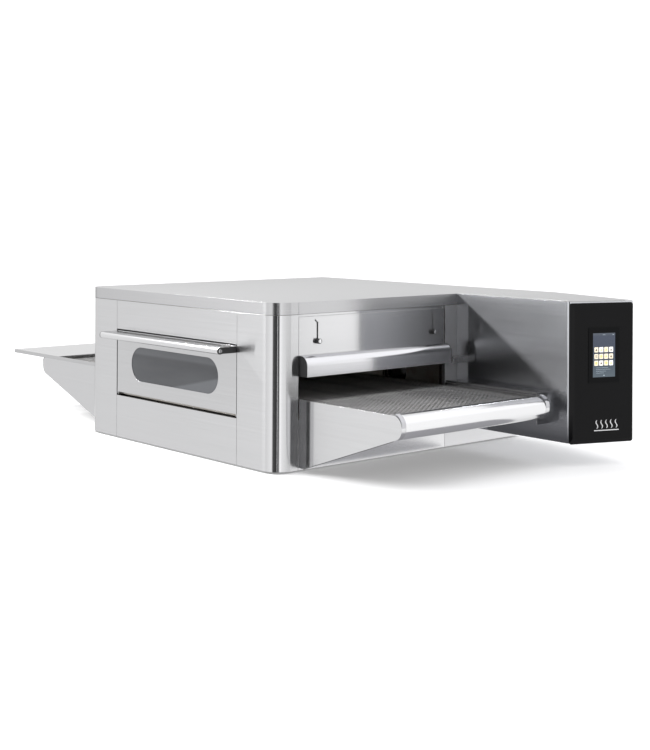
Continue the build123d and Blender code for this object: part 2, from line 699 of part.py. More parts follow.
def control_box_shell():
    """Side, back and floor of the box, with a hole for the drive shaft."""
    outer = extrude(Pos(0, 0, BOX_Z0) * box_plan(0), BODY_H - SEAM / 2 - SHEET - BOX_Z0)
    inner = extrude(Pos(0, 0, BOX_Z0 + SHEET) * box_plan(SHEET), BODY_H)
    shell = outer - inner
    shell -= rod_y(DRIVE_X, BOX_Y - 5, BOX_Y + 5, ROLLER_Z, SHAFT_R + 3)
    shell -= extrude(gland_plane() * Circle(7.5), 4, both=True)
    front = FASCIA_PLANE.offset(-FASCIA_T - FASCIA_STEP - SHEET)
    window = Pos(FASCIA_W / 2, FASCIA_H / 2) * Rectangle(FASCIA_W - 50, FASCIA_H - 60)
    return shell - extrude(front * window, 4, both=True)


def control_box_lid():
    return extrude(Pos(0, 0, BODY_H - SHEET) * box_plan(0), SHEET)


def fascia_outline(left, others, right):
    """Fascia outline inset by its bevels, with rounded corners."""
    width = FASCIA_W - left - right
    height = FASCIA_H - 2 * others
    return Pos(left + width / 2, others + height / 2) * RectangleRounded(width, height, 8)


def control_fascia():
    """Moulded panel: a flat back slab and a bevelled front."""
    rear = FASCIA_PLANE.offset(-FASCIA_T - FASCIA_STEP) * fascia_outline(0, 0, 0)
    slab = extrude(rear, FASCIA_T)
    low = FASCIA_PLANE.offset(-FASCIA_STEP) * fascia_outline(0, 0, 0)
    high = FASCIA_PLANE * fascia_outline(FASCIA_LEFT_BEVEL, FASCIA_BEVEL, FASCIA_RIGHT_BEVEL)
    front = loft([low, high])
    return slab + front


def screen_face(width, height):
    return FASCIA_PLANE * (Pos(SCREEN_U, SCREEN_V) * Rectangle(width, height))


def display_bezel():
    frame = extrude(screen_face(BEZEL_W, BEZEL_H), 1.5)
    return frame - extrude(screen_face(SCREEN_W, SCREEN_H), 3, both=True)


def display_glass():
    return extrude(screen_face(SCREEN_W - 0.4, SCREEN_H - 0.4), 0.8)


def control_board():
    """Circuit board behind the screen with its larger components."""
    plane = FASCIA_PLANE.offset(-FASCIA_T - FASCIA_STEP - 24)
    board = extrude(plane * (Pos(SCREEN_U, SCREEN_V) * Rectangle(120, 180)), 1.6)
    for u, v, w, h, t in ((-30, 50, 30, 30, 8), (25, 40, 20, 50, 12), (-20, -40, 45, 20, 14),
                          (30, -50, 25, 35, 10), (0, 0, 18, 18, 4)):
        chip = plane * (Pos(SCREEN_U + u, SCREEN_V + v) * Rectangle(w, h))
        board += extrude(chip, -t)
    return board


def contactors():
    """Heater contactors and the terminal block on the box floor."""
    pieces = []
    for index in range(3):
        x = 60 + index * 48
        pieces.append(block(x, x + 44, 1000, 1070, BOX_Z0 + SHEET, BOX_Z0 + SHEET + 80))
    pieces.append(block(20, 50, 860, 960, BOX_Z0 + SHEET, BOX_Z0 + SHEET + 40))
    return group(pieces)


def gland_plane():
    """Outer face of the box's slanted back, at the inlet."""
    far = behind_fascia(FASCIA_T + FASCIA_STEP)[1]
    along = Vector(BOX_BACK_X - far[0], BODY_D - far[1], 0).normalized()
    centre = Vector((BOX_BACK_X + far[0]) / 2, (BODY_D + far[1]) / 2, BOX_Z0 + 60)
    return Plane(origin=centre, z_dir=Vector(along.Y, -along.X, 0))


def cable_gland():
    """Inlet gland in the slanted back of the box."""
    plane = gland_plane()
    gland = extrude(plane * RegularPolygon(16, 6), 8)
    gland += extrude(plane * Circle(13), 20)
    return gland - extrude(plane * Circle(7.5), 30)


# ---- door ------------------------------------------------------------------------------------
def window_shape(grow):
    """The window's stadium, grown on every side."""
    length = WINDOW_X1 - WINDOW_X0 + 2 * grow
    height = WINDOW_H + 2 * grow
    return Pos((WINDOW_X0 + WINDOW_X1) / 2, WINDOW_Z) * SlotOverall(length, height)


def door_outer_skin():
    """Folded front skin with the window and two hinge ears."""
    skin = block(DOOR_X0, DOOR_X1, 0, 30, DOOR_Z0, DOOR_Z1)
    skin -= block(DOOR_X0 + SHEET, DOOR_X1 - SHEET, SHEET, 31, DOOR_Z0 + SHEET, DOOR_Z1 - SHEET)
    skin -= side_view(window_shape(0), -1, SHEET + 1)
    for x0 in (DOOR_X0 + 1, DOOR_X1 - 4):
        ear = block(x0, x0 + 3, HINGE_Y - 4.5, HINGE_Y + 5, HINGE_Z - 4.5, DOOR_Z0)
        skin += ear
    return skin - rod_x(DOOR_X0 - 1, DOOR_X1 + 1, HINGE_Y, HINGE_Z, PIN_R + RUNNING)


def door_inner_skin():
    """Inner pan of the door, which closes the outer skin from behind."""
    pan = block(DOOR_X0 + SHEET, DOOR_X1 - SHEET, 30, DOOR_T, DOOR_Z0 + SHEET, DOOR_Z1 - SHEET)
    pan -= block(DOOR_X0 + 2 * SHEET, DOOR_X1 - 2 * SHEET, 29, DOOR_T - SHEET,
                 DOOR_Z0 + 2 * SHEET, DOOR_Z1 - 2 * SHEET)
    return pan - side_view(window_shape(0), 20, DOOR_T + 1)


def door_glass():
    """Outer and inner panes."""
    outer = side_view(window_shape(8), SHEET, SHEET + PANE_T)
    inner = side_view(window_shape(8), DOOR_T - SHEET - PANE_T, DOOR_T - SHEET)
    return group([outer, inner])


def door_wool():
    """Insulating ring between the skins, round the window."""
    wool = block(DOOR_X0 + 8, DOOR_X1 - 8, SHEET + PANE_T, DOOR_T - SHEET - PANE_T,
                 DOOR_Z0 + 8, DOOR_Z1 - 8)
    return wool - side_view(window_shape(2), 0, DOOR_T)


def door_gasket():
    """Seal round the inner face of the door."""
    outer = GASKET_INSET
    inner = GASKET_INSET + GASKET_W
    y1 = DOOR_T + GASKET_T
    ring = block(DOOR_X0 + outer, DOOR_X1 - outer, DOOR_T, y1, DOOR_Z0 + outer, DOOR_Z1 - outer)
    return ring - block(DOOR_X0 + inner, DOOR_X1 - inner, DOOR_T - 1, y1 + 1,
                        DOOR_Z0 + inner, DOOR_Z1 - inner)


def handle_rod(overrun, radius):
    """Round bar along the handle's axis, shorter or longer than the door by an overrun."""
    return rod_x(DOOR_X0 - overrun, DOOR_X1 + overrun, HANDLE_Y, HANDLE_Z, radius)


def door_handle():
    """Full width round tube between its end plates."""
    tube = handle_rod(-HANDLE_PLATE, HANDLE_R)
    return tube - handle_rod(0, HANDLE_R - SHEET)


def handle_end_plates():
    """Black end plates with a rounded nose and a plug inside the tube."""
    plates = []
    for outer, inward in ((DOOR_X0, 1), (DOOR_X1, -1)):
        x0, x1 = sorted((outer, outer + inward * HANDLE_PLATE))
        plug0, plug1 = sorted((outer, outer + inward * 10))
        plate = rod_x(x0, x1, HANDLE_Y, HANDLE_Z, HANDLE_R)
        plate += block(x0, x1, HANDLE_Y, 0, HANDLE_PLATE_Z, HANDLE_Z + HANDLE_R)
        plate += rod_x(plug0, plug1, HANDLE_Y, HANDLE_Z, HANDLE_R - SHEET)
        plates.append(plate)
    return group(plates)


def handle_web():
    """Flat web from the top of the door to the bar, just clear of the tube."""
    top = HANDLE_Z + HANDLE_R
    web = block(DOOR_X0 + HANDLE_PLATE, DOOR_X1 - HANDLE_PLATE, HANDLE_Y, 0, top - 2, top)
    return web - handle_rod(0, HANDLE_R + 0.3)


# ---- shutters and knobs ----------------------------------------------------------------------
def knob_slot(y):
    """Vertical slot with a slanted rest at its top, cut through the shutter plate."""
    z1 = STUD_Z + SHUTTER_DROP + SLOT_END
    half = SLOT_W / 2
    cut = block(-5, 0, y - half, y + half, STUD_Z - SLOT_END, z1)
    rest = Pos(-2.5, y - 4.5, z1) * Rot(45, 0, 0) * Box(5, SLOT_W, 17)
    return cut + rest


def shutter_plate():
    plate = block(BAR_BACK_X - SHEET, BAR_BACK_X, BELT_NEAR + 1, BAR_FAR_Y,
                  BAR_Z0 + 2, PLATE_TOP)
    for y in STUD_YS:
        plate -= knob_slot(y)
    return plate


def bar_face(shrink):
    """D section of the pull bar in X and Z: flat back and bottom, rounded upper front."""
    x0 = BAR_BACK_X + shrink
    x1 = BAR_DEPTH - shrink
    z0 = BAR_Z0 + shrink
    z1 = BAR_Z0 + BAR_H - shrink
    face = outline([(x0, z0), (x1, z0), (x1, z1), (x0, z1)])
    corner = max(face.vertices(), key=lambda v: v.X + v.Y)
    return fillet(corner, 29 - shrink)


def shutter_bar():
    """Folded hollow pull bar."""
    ring = bar_face(0) - bar_face(SHEET)
    return side_view(ring, BELT_NEAR + 1 + BAR_CAP, BAR_FAR_Y - BAR_CAP)


def shutter_bar_caps():
    face = bar_face(0)
    near = side_view(face, BELT_NEAR + 1, BELT_NEAR + 1 + BAR_CAP)
    far = side_view(face, BAR_FAR_Y - BAR_CAP, BAR_FAR_Y)
    return group([near, far])


def clamp_knob(y):
    """Round knob threaded on its stud."""
    knob = rod_x(-2, -2 + KNOB_L, y, STUD_Z, KNOB_R)
    knob = chamfer(knob.edges().filter_by(GeomType.CIRCLE), 0.8)
    return knob - rod_x(-3, 9, y, STUD_Z, STUD_R + RUNNING)


# ---- every node ------------------------------------------------------------------------------
save("base_pan", base_pan())
save("feet", feet())
save("front_columns", front_columns())
save("front_panels", front_panels())
save("top_lid", top_lid())
save("rear_panel", rear_panel())
save("rear_end_panels", rear_end_panels())
save("end_frames", end_frames())
save("fixed_pins", fixed_pins())
save("chamber_liner", chamber_liner())
save("chamber_front", chamber_front())
save("plenum_walls", plenum_walls())
save("air_ducts", air_ducts())
save("door_frame", door_frame())
save("insulation", insulation())
save("heating_elements", heating_elements())
save("fan_motors", fan_motors())
save("fan_impeller_left", fan_impeller(FAN_XS[0]))
save("fan_impeller_right", fan_impeller(FAN_XS[1]))
save("conveyor_belt", conveyor_belt())
save("conveyor_rails", conveyor_rails())
save("belt_supports", belt_supports())
save("tail_roller_right", roller(ROLLER_RIGHT_X))
save("tail_roller_left", roller(ROLLER_LEFT_X))
save("drive_shaft", drive_shaft())
save("drive_sprockets", drive_sprockets())
save("motor_sprocket", motor_sprocket())
save("drive_chain", drive_chain())
save("gearmotor", gearmotor())
save("shaft_bearings", shaft_bearings())
save("conveyor_sides", conveyor_sides())
save("nose_covers", nose_covers())
save("crumb_pans", crumb_pans())
save("landing_tray", landing_tray())
save("drive_cover", drive_cover())
save("control_box_shell", control_box_shell())
save("control_box_lid", control_box_lid())
save("control_fascia", control_fascia())
save("display_bezel", display_bezel())
save("display_glass", display_glass())
save("electrical_parts", group([control_board(), contactors()]))
save("cable_gland", cable_gland())
save("door_outer_skin", door_outer_skin())
save("door_inner_skin", door_inner_skin())
save("door_glass", door_glass())
save("door_wool", door_wool())
save("door_gasket", door_gasket())
save("door_handle", door_handle())
save("handle_end_plates", handle_end_plates())
save("handle_web", handle_web())
for side in ("right", "left"):
    save(f"shutter_plate_{side}", at_end(side, shutter_plate()))
    save(f"shutter_bar_{side}", at_end(side, shutter_bar()))
    save(f"shutter_bar_caps_{side}", at_end(side, shutter_bar_caps()))
    for place, y in zip(("front", "rear"), STUD_YS):
        save(f"knob_{side}_{place}", at_end(side, clamp_knob(y)))
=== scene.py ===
"""Looks for the countertop conveyor pizza oven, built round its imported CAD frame.

Lengths are metres in the frame's own axes: X along the conveyor, Y from the door to the back, Z up.
Most places are worked out from the CAD nodes' boxes.  at() turns millimetres from the body's
front right corner, at the bottom of its skirt, into the frame's metres.
"""

import math
import random

import bmesh
import bpy
from mathutils import Matrix, Vector


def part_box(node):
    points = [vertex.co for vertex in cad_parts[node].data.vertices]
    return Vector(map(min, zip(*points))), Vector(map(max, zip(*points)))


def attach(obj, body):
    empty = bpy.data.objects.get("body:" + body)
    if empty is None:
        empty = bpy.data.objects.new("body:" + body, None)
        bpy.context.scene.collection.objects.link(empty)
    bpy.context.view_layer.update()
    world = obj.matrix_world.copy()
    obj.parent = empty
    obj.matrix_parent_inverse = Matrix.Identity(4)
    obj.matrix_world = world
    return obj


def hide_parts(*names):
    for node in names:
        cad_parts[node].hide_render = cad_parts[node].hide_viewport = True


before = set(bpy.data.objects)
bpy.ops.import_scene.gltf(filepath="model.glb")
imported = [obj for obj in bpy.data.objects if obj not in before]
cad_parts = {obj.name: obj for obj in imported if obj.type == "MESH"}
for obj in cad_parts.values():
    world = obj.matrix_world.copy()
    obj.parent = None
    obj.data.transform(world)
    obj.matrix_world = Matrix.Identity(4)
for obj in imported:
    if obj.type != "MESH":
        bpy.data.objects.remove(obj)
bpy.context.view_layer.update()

MM = 0.001
LID_LO, LID_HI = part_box("top_lid")
BODY_TOP = 500.0           # lid's top above the skirt's bottom, in mm


def at(x, y, z):
    """Millimetres from the body's front right corner to a point of the frame."""
    return Vector((LID_HI.x + x * MM, LID_LO.y + y * MM, LID_HI.z + (z - BODY_TOP) * MM))


# ---- node helpers ----------------------------------------------------------------------------
def new_tree(name):
    mat = bpy.data.materials.new(name)
    mat.use_nodes = True
    mat.node_tree.nodes.clear()
    return mat, mat.node_tree


def add(tree, kind, inputs=None, **settings):
    """Add a node; an input's value is a number, a colour, a vector or another node's socket."""
    node = tree.nodes.new(kind)
    for key, value in settings.items():
        setattr(node, key, value)
    for key, value in (inputs or {}).items():
        if isinstance(value, bpy.types.NodeSocket):
            tree.links.new(value, node.inputs[key])
        else:
            node.inputs[key].default_value = value
    return node


def maths(tree, operation, a, b=0.0, clamp=False):
    node = add(tree, "ShaderNodeMath", {0: a, 1: b}, operation=operation)
    node.use_clamp = clamp
    return node.outputs[0]


def scaled(tree, value, factor, offset):
    """value times factor, plus offset."""
    node = maths(tree, "MULTIPLY_ADD", value, factor).node
    node.inputs[2].default_value = offset
    return node.outputs[0]


def object_place(tree):
    return add(tree, "ShaderNodeTexCoord").outputs["Object"]


def noise(tree, vector, scale, detail=2.0, rough=0.5):
    node = add(tree, "ShaderNodeTexNoise",
               {"Vector": vector, "Scale": scale, "Detail": detail, "Roughness": rough})
    return node.outputs[0]


def stretched_noise(tree, place, scale, detail=2.0):
    """Noise with a scale of its own along each axis."""
    mapped = add(tree, "ShaderNodeMapping", {0: place, "Scale": scale}).outputs[0]
    return noise(tree, mapped, 1.0, detail)


def ramp(tree, factor, stops, interpolation="LINEAR"):
    """Colour ramp; a stop is (position, grey) or (position, (r, g, b))."""
    node = add(tree, "ShaderNodeValToRGB", {0: factor})
    node.color_ramp.interpolation = interpolation
    elements = node.color_ramp.elements
    while len(elements) < len(stops):
        elements.new(0.5)
    for element, (position, value) in zip(elements, stops):
        element.position = position
        colour = (value,) * 3 if isinstance(value, (int, float)) else value
        element.color = (*colour, 1.0)
    return node.outputs[0]


def blend(tree, factor, a, b, mode="MIX"):
    node = add(tree, "ShaderNodeMix", data_type="RGBA", blend_type=mode)
    for key, value in ((0, factor), (6, a), (7, b)):
        if isinstance(value, bpy.types.NodeSocket):
            tree.links.new(value, node.inputs[key])
        elif key:
            node.inputs[key].default_value = (*value, 1.0)
        else:
            node.inputs[key].default_value = value
    return node.outputs[2]


def shade(colour, factor):
    return tuple(channel * factor for channel in colour)


def finish_material(tree, shader):
    out = add(tree, "ShaderNodeOutputMaterial")
    tree.links.new(shader.outputs[0], out.inputs[0])


# ---- materials -------------------------------------------------------------------------------
def brushed(name, colour, rough, stretch, grain=1.0, stain=0.0, stain_colour=(0.2, 0.13, 0.07),
            edge=0.8, tint=0.8):
    """Sheet steel brushed along the horizontal, with fine and coarse scratches and faint clouds.

    On upright faces the scratches run level; on flat ones they run along X."""
    mat, tree = new_tree(name)
    place = object_place(tree)
    facing = add(tree, "ShaderNodeNewGeometry").outputs["Normal"]
    up = add(tree, "ShaderNodeSeparateXYZ", {0: facing}).outputs[2]
    flat = maths(tree, "MULTIPLY", up, up)
    steep = maths(tree, "SUBTRACT", 1.0, flat)

    def streaks(along, across, detail):
        y_scale = scaled(tree, flat, across - along, along)
        z_scale = scaled(tree, steep, across - along, along)
        scale = add(tree, "ShaderNodeCombineXYZ", {0: along, 1: y_scale, 2: z_scale})
        field = add(tree, "ShaderNodeVectorMath", {0: place, 1: scale.outputs[0]},
                    operation="MULTIPLY")
        return noise(tree, field.outputs[0], 1.0, detail)

    fine = streaks(9.0, 1900.0, 2.0)
    coarse = streaks(1.6, 210.0, 3.0)
    cloud = noise(tree, place, 3.1, 4.0, 0.6)
    fine_part = maths(tree, "MULTIPLY", fine, 0.55)
    both = maths(tree, "ADD", fine_part, maths(tree, "MULTIPLY", coarse, 0.45))
    tone = blend(tree, both, shade(colour, 1.0 - 0.09 * grain), shade(colour, 1.0 + 0.07 * grain))
    tone = blend(tree, ramp(tree, cloud, [(0.35, 0.0), (0.75, 0.10)]), tone, shade(colour, 0.86))
    if stain:
        spots = noise(tree, place, 14.0, 6.0, 0.65)
        mask = ramp(tree, spots, [(0.48, 0.0), (0.72, stain)])
        tone = blend(tree, mask, tone, stain_colour)
    spread = scaled(tree, both, 0.06 * grain, rough - 0.045 * grain)
    spread = maths(tree, "ADD", spread, maths(tree, "MULTIPLY", cloud, 0.03))
    bevel = add(tree, "ShaderNodeBevel", {"Radius": edge * MM}, samples=4)
    bump = add(tree, "ShaderNodeBump", {"Strength": 0.5 * grain, "Distance": 0.00001,
                                        "Height": both, "Normal": bevel.outputs[0]})
    tangent = add(tree, "ShaderNodeCombineXYZ", {0: 0.0, 1: flat, 2: steep})
    shader = add(tree, "ShaderNodeBsdfPrincipled", {
        "Base Color": tone, "Metallic": 1.0, "Roughness": spread, "Anisotropic": stretch,
        "Normal": bump.outputs[0], "Tangent": tangent.outputs[0],
        "Specular Tint": (tint, tint, tint, 1.0)})
    finish_material(tree, shader)
    return mat


def smooth_metal(name, colour, rough, scale=60.0, wear=0.06, edge=0.6):
    """Turned or polished metal with small uneven patches and light scratches."""
    mat, tree = new_tree(name)
    place = object_place(tree)
    patches = noise(tree, place, scale, 4.0)
    scratches = stretched_noise(tree, place, (40.0, 900.0, 900.0))
    tone = blend(tree, patches, shade(colour, 0.9), shade(colour, 1.06))
    spread = scaled(tree, patches, wear, rough - wear / 2)
    bevel = add(tree, "ShaderNodeBevel", {"Radius": edge * MM}, samples=4)
    bump = add(tree, "ShaderNodeBump", {"Strength": 0.3, "Distance": 0.00001,
                                        "Height": scratches, "Normal": bevel.outputs[0]})
    shader = add(tree, "ShaderNodeBsdfPrincipled", {
        "Base Color": tone, "Metallic": 1.0, "Roughness": spread, "Normal": bump.outputs[0]})
    finish_material(tree, shader)
    return mat


def moulded(name, colour, rough, grain_scale=900.0, depth=0.00003, specular=0.5, spread=0.08):
    """Plastic, rubber or paint with a fine moulded grain and slight mottling."""
    mat, tree = new_tree(name)
    place = object_place(tree)
    pores = noise(tree, place, grain_scale, 3.0, 0.6)
    patches = noise(tree, place, 7.0, 4.0)
    tone = blend(tree, patches, shade(colour, 0.86), shade(colour, 1.14))
    dull = scaled(tree, patches, spread, rough - spread / 2)
    bevel = add(tree, "ShaderNodeBevel", {"Radius": 0.8 * MM}, samples=4)
    bump = add(tree, "ShaderNodeBump", {"Strength": 0.4, "Distance": depth,
                                        "Height": pores, "Normal": bevel.outputs[0]})
    shader = add(tree, "ShaderNodeBsdfPrincipled", {
        "Base Color": tone, "Roughness": dull, "Normal": bump.outputs[0],
        "Specular IOR Level": specular})
    finish_material(tree, shader)
    return mat


def wool_material():
    """Mineral wool: drawn out fibres with darker tufts."""
    mat, tree = new_tree("mineral_wool")
    place = object_place(tree)
    fibres = stretched_noise(tree, place, (160.0, 900.0, 420.0), 6.0)
    tufts = noise(tree, place, 35.0, 5.0)
    tone = blend(tree, fibres, (0.38, 0.30, 0.14), (0.70, 0.62, 0.40))
    tone = blend(tree, tufts, tone, (0.50, 0.43, 0.25))
    bump = add(tree, "ShaderNodeBump", {"Strength": 0.8, "Distance": 0.001, "Height": fibres})
    shader = add(tree, "ShaderNodeBsdfPrincipled", {
        "Base Color": tone, "Roughness": 0.95, "Normal": bump.outputs[0]})
    finish_material(tree, shader)
    return mat


GLASS_BAND_Z = (0.292, 0.300)        # painted light: the lighter band at the window's top fades in between these
WEDGE_FOOT = 0.195                   # height of the lower wedge's edge at X = 0
WEDGE_SLOPE = 0.213
WEDGE_FADE = 0.008


def glass_material():
    """Dark oven glass with wiping marks, and painted light: a paler band at its top and a paler
    wedge low down.
    """
    mat, tree = new_tree("door_glass")
    place = object_place(tree)
    wiped = stretched_noise(tree, place, (4.0, 9.0, 26.0), 4.0)
    tone = blend(tree, wiped, (0.030, 0.031, 0.035), (0.056, 0.059, 0.064))
    place_x, _, place_z = add(tree, "ShaderNodeSeparateXYZ", {0: place}).outputs
    # painted light: the paler band and the paler wedge below a sloping line
    band = ramp(tree, place_z, [(GLASS_BAND_Z[0], 0.0), (GLASS_BAND_Z[1], 0.45)])
    line_z = maths(tree, "MULTIPLY", place_x, WEDGE_SLOPE)
    below_line = maths(tree, "ADD", line_z, maths(tree, "SUBTRACT", WEDGE_FOOT, place_z))
    wedge = ramp(tree, below_line, [(0.0, 0.0), (WEDGE_FADE, 0.6)])
    tone = blend(tree, maths(tree, "MAXIMUM", band, wedge), tone, (0.115, 0.12, 0.13))
    dull = ramp(tree, wiped, [(0.3, 0.04), (0.8, 0.12)])
    shader = add(tree, "ShaderNodeBsdfPrincipled", {
        "Base Color": tone, "Roughness": dull, "IOR": 1.5, "Specular IOR Level": 0.5})
    finish_material(tree, shader)
    return mat


SCREEN_H = 0.135                     # height of the lit screen
SCREEN_GRAIN = 420.0


def screen_material(origin, along):
    """Lit screen: blue grey with a paler foot and a fine speckle."""
    mat, tree = new_tree("display_screen")
    place = object_place(tree)
    shift = add(tree, "ShaderNodeVectorMath", {0: place, 1: tuple(origin)}, operation="SUBTRACT")
    moved = shift.outputs[0]
    dot = add(tree, "ShaderNodeVectorMath", {0: moved, 1: tuple(along)}, operation="DOT_PRODUCT")
    u = dot.outputs["Value"]
    v = add(tree, "ShaderNodeSeparateXYZ", {0: moved}).outputs[2]
    height = scaled(tree, v, 1 / SCREEN_H, 0.5)
    tone = ramp(tree, height, [(0.0, (0.13, 0.17, 0.20)), (0.26, (0.085, 0.115, 0.15)),
                               (0.55, (0.06, 0.075, 0.115)), (0.92, (0.07, 0.085, 0.13)),
                               (1.0, (0.12, 0.14, 0.17))])
    fine_u = maths(tree, "MULTIPLY", u, SCREEN_GRAIN)
    fine_v = maths(tree, "MULTIPLY", v, SCREEN_GRAIN)
    fine_place = add(tree, "ShaderNodeCombineXYZ", {0: fine_u, 1: fine_v}).outputs[0]
    speckle = noise(tree, fine_place, 1.0, 1.0)
    tone = blend(tree, ramp(tree, speckle, [(0.40, 0.0), (0.75, 0.35)]), tone, (0.16, 0.20, 0.24))
    shader = add(tree, "ShaderNodeBsdfPrincipled", {
        "Base Color": (0.01, 0.01, 0.012, 1.0), "Roughness": 0.10, "Emission Color": tone,
        "Emission Strength": 0.8, "Specular IOR Level": 0.3})
    finish_material(tree, shader)
    return mat


def lit_material(name, low, high, scale=500.0, strength=0.9):
    """Small lit picture on the screen."""
    mat, tree = new_tree(name)
    place = object_place(tree)
    tone = blend(tree, noise(tree, place, scale, 2.0), low, high)
    shader = add(tree, "ShaderNodeBsdfPrincipled", {
        "Base Color": tone, "Roughness": 0.4, "Emission Color": tone,
        "Emission Strength": strength})
    finish_material(tree, shader)
    return mat


STEEL = (0.655, 0.655, 0.665)
skin = brushed("steel_body", STEEL, 0.16, 1.0)
# painted shade: the lid's steel is the body's steel made darker
skin_top_shaded = brushed("steel_lid_painted_shade", shade(STEEL, 0.86), 0.26, 0.78, tint=0.55)
skin_door = brushed("steel_door", shade(STEEL, 0.93), 0.18, 0.98, grain=1.1)
skin_plate = brushed("steel_side_plates", shade(STEEL, 0.98), 0.16, 1.0)
# painted shade: the tray's steel is the body's steel made darker
skin_tray_shaded = brushed("steel_tray_painted_shade", shade(STEEL, 0.86), 0.18, 0.98)
# painted light: the end panels' steel is the body's steel made lighter
skin_end_lit = brushed("steel_end_panels_painted_light", shade(STEEL, 1.04), 0.38, 0.6)
skin_box = brushed("steel_control_box", (0.65, 0.66, 0.69), 0.16, 1.0)
bright = brushed("steel_bright", (0.74, 0.74, 0.75), 0.16, 0.4, grain=0.7)
satin_bar = brushed("steel_pull_bar", (0.68, 0.68, 0.70), 0.17, 0.9)
hidden = brushed("steel_galvanised", (0.52, 0.53, 0.54), 0.45, 0.3, grain=1.3)
chamber = brushed("steel_chamber", (0.40, 0.38, 0.35), 0.44, 0.4, stain=0.6)
# painted shade: near black steel so that the gaps in the belt above look dark, with baked-on stains
pan_stain_and_shade = brushed("steel_pan_stain_and_shade", (0.09, 0.088, 0.085), 0.5, 0.4, stain=0.3)
baked = brushed("steel_baked", (0.46, 0.44, 0.41), 0.40, 0.5, stain=0.35)
wire = smooth_metal("belt_wire", (0.34, 0.335, 0.33), 0.32, 300.0, 0.14, edge=0.2)
rod_wire = smooth_metal("belt_rod", (0.74, 0.735, 0.73), 0.22, 300.0, 0.10, edge=0.2)
machined = smooth_metal("steel_machined", (0.56, 0.56, 0.57), 0.26)
chrome = smooth_metal("knob_metal", (0.82, 0.82, 0.83), 0.13)
sheath = smooth_metal("heater_sheath", (0.20, 0.17, 0.15), 0.5, 90.0, 0.2)
screw_metal = smooth_metal("screw_metal", (0.60, 0.60, 0.61), 0.25, 200.0)
band_steel = smooth_metal("steel_band", (0.50, 0.50, 0.52), 0.12, 40.0)
# painted shadow: colour of the thin dark line under the near side plate
edge_dark = smooth_metal("edge_shadow", (0.05, 0.05, 0.052), 0.5)
gloss = moulded("fascia_gloss", (0.003, 0.003, 0.0035), 0.09, 60.0, 0.000004, 0.15, 0.03)
bezel_black = moulded("bezel_black", (0.002, 0.0022, 0.0027), 0.14, 60.0, 0.000004, 0.12, 0.03)
plastic = moulded("black_plastic", (0.022, 0.022, 0.023), 0.42, 1400.0, 0.00004)
rubber = moulded("seal_rubber", (0.020, 0.020, 0.020), 0.72, 700.0, 0.00008)
foot_black = moulded("foot_rubber", (0.016, 0.016, 0.017), 0.66, 600.0, 0.00008)
paint = moulded("motor_paint", (0.05, 0.06, 0.075), 0.38, 500.0, 0.00006)
board_green = moulded("electrical_plastic", (0.03, 0.11, 0.05), 0.4, 300.0, 0.0001)
white_print = moulded("white_print", (0.72, 0.72, 0.73), 0.35, 900.0, 0.00001)
wool = wool_material()
glass = glass_material()

NODE_MATERIALS = {
    skin_end_lit: "rear_end_panels",
    skin: "front_columns front_panels end_frames shutter_plate_right shutter_plate_left",
    skin_top_shaded: "top_lid control_box_lid",
    skin_door: "door_outer_skin",
    skin_plate: "conveyor_sides drive_cover",
    skin_tray_shaded: "landing_tray",
    skin_box: "control_box_shell",
    bright: "nose_covers door_handle handle_web",
    satin_bar: "shutter_bar_right shutter_bar_left",
    hidden: "base_pan rear_panel",
    chamber: "chamber_liner chamber_front plenum_walls air_ducts",
    pan_stain_and_shade: "crumb_pans belt_supports",
    baked: "door_frame door_inner_skin conveyor_rails",
    machined: ("tail_roller_right tail_roller_left drive_shaft drive_sprockets motor_sprocket "
               "drive_chain shaft_bearings fan_impeller_left fan_impeller_right fixed_pins"),
    chrome: "knob_right_front knob_right_rear knob_left_front knob_left_rear",
    sheath: "heating_elements",
    paint: "gearmotor fan_motors",
    plastic: "shutter_bar_caps_right shutter_bar_caps_left handle_end_plates cable_gland",
    foot_black: "feet",
    gloss: "control_fascia",
    bezel_black: "display_bezel",
    rubber: "door_gasket",
    wool: "insulation door_wool",
    glass: "door_glass",
    board_green: "electrical_parts",
    wire: "conveyor_belt",
}
for material, names in NODE_MATERIALS.items():
    for name in names.split():
        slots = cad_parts[name].data.materials
        slots.clear()
        slots.append(material)


# ---- piece helpers ---------------------------------------------------------------------------
def piece(name, bm, material, body, smooth=True):
    """Make an object of a bmesh, give it a material and put it on its body."""
    mesh = bpy.data.meshes.new(name)
    bmesh.ops.recalc_face_normals(bm, faces=bm.faces)
    bm.to_mesh(mesh)
    bm.free()
    mesh.materials.append(material)
    obj = bpy.data.objects.new(name, mesh)
    bpy.context.scene.collection.objects.link(obj)
    if smooth:
        mesh.shade_smooth()
        mesh.set_sharp_from_angle(angle=math.radians(35))
    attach(obj, body)
    return obj


def ring_of(bm, points):
    return [bm.verts.new(p) for p in points]


def bridge(bm, a, b, closed=True):
    count = len(a)
    for i in range(count if closed else count - 1):
        j = (i + 1) % count
        bm.faces.new((a[i], a[j], b[j], b[i]))


def turned(bm, centre, axis, profile, segments=32, wobble=None):
    """Revolve (radius, height) pairs round an axis; wobble changes a radius by segment."""
    axis = Vector(axis).normalized()
    side = axis.orthogonal().normalized()
    other = axis.cross(side)
    rings = []
    for radius, height in profile:
        points = []
        for i in range(segments):
            angle = 2 * math.pi * i / segments
            r = radius if wobble is None else wobble(radius, height, i)
            points.append(Vector(centre) + axis * height
                          + side * (r * math.cos(angle)) + other * (r * math.sin(angle)))
        rings.append(ring_of(bm, points))
    for a, b in zip(rings, rings[1:]):
        bridge(bm, a, b)
    bm.faces.new(rings[0][::-1])
    bm.faces.new(rings[-1])


def slab(bm, origin, u, v, w, outline, thickness):
    """Extrude an outline of (u, v) pairs from an origin along w."""
    low = ring_of(bm, [origin + u * a + v * b for a, b in outline])
    high = ring_of(bm, [origin + u * a + v * b + w * thickness for a, b in outline])
    bridge(bm, low, high)
    bm.faces.new(low[::-1])
    bm.faces.new(high)


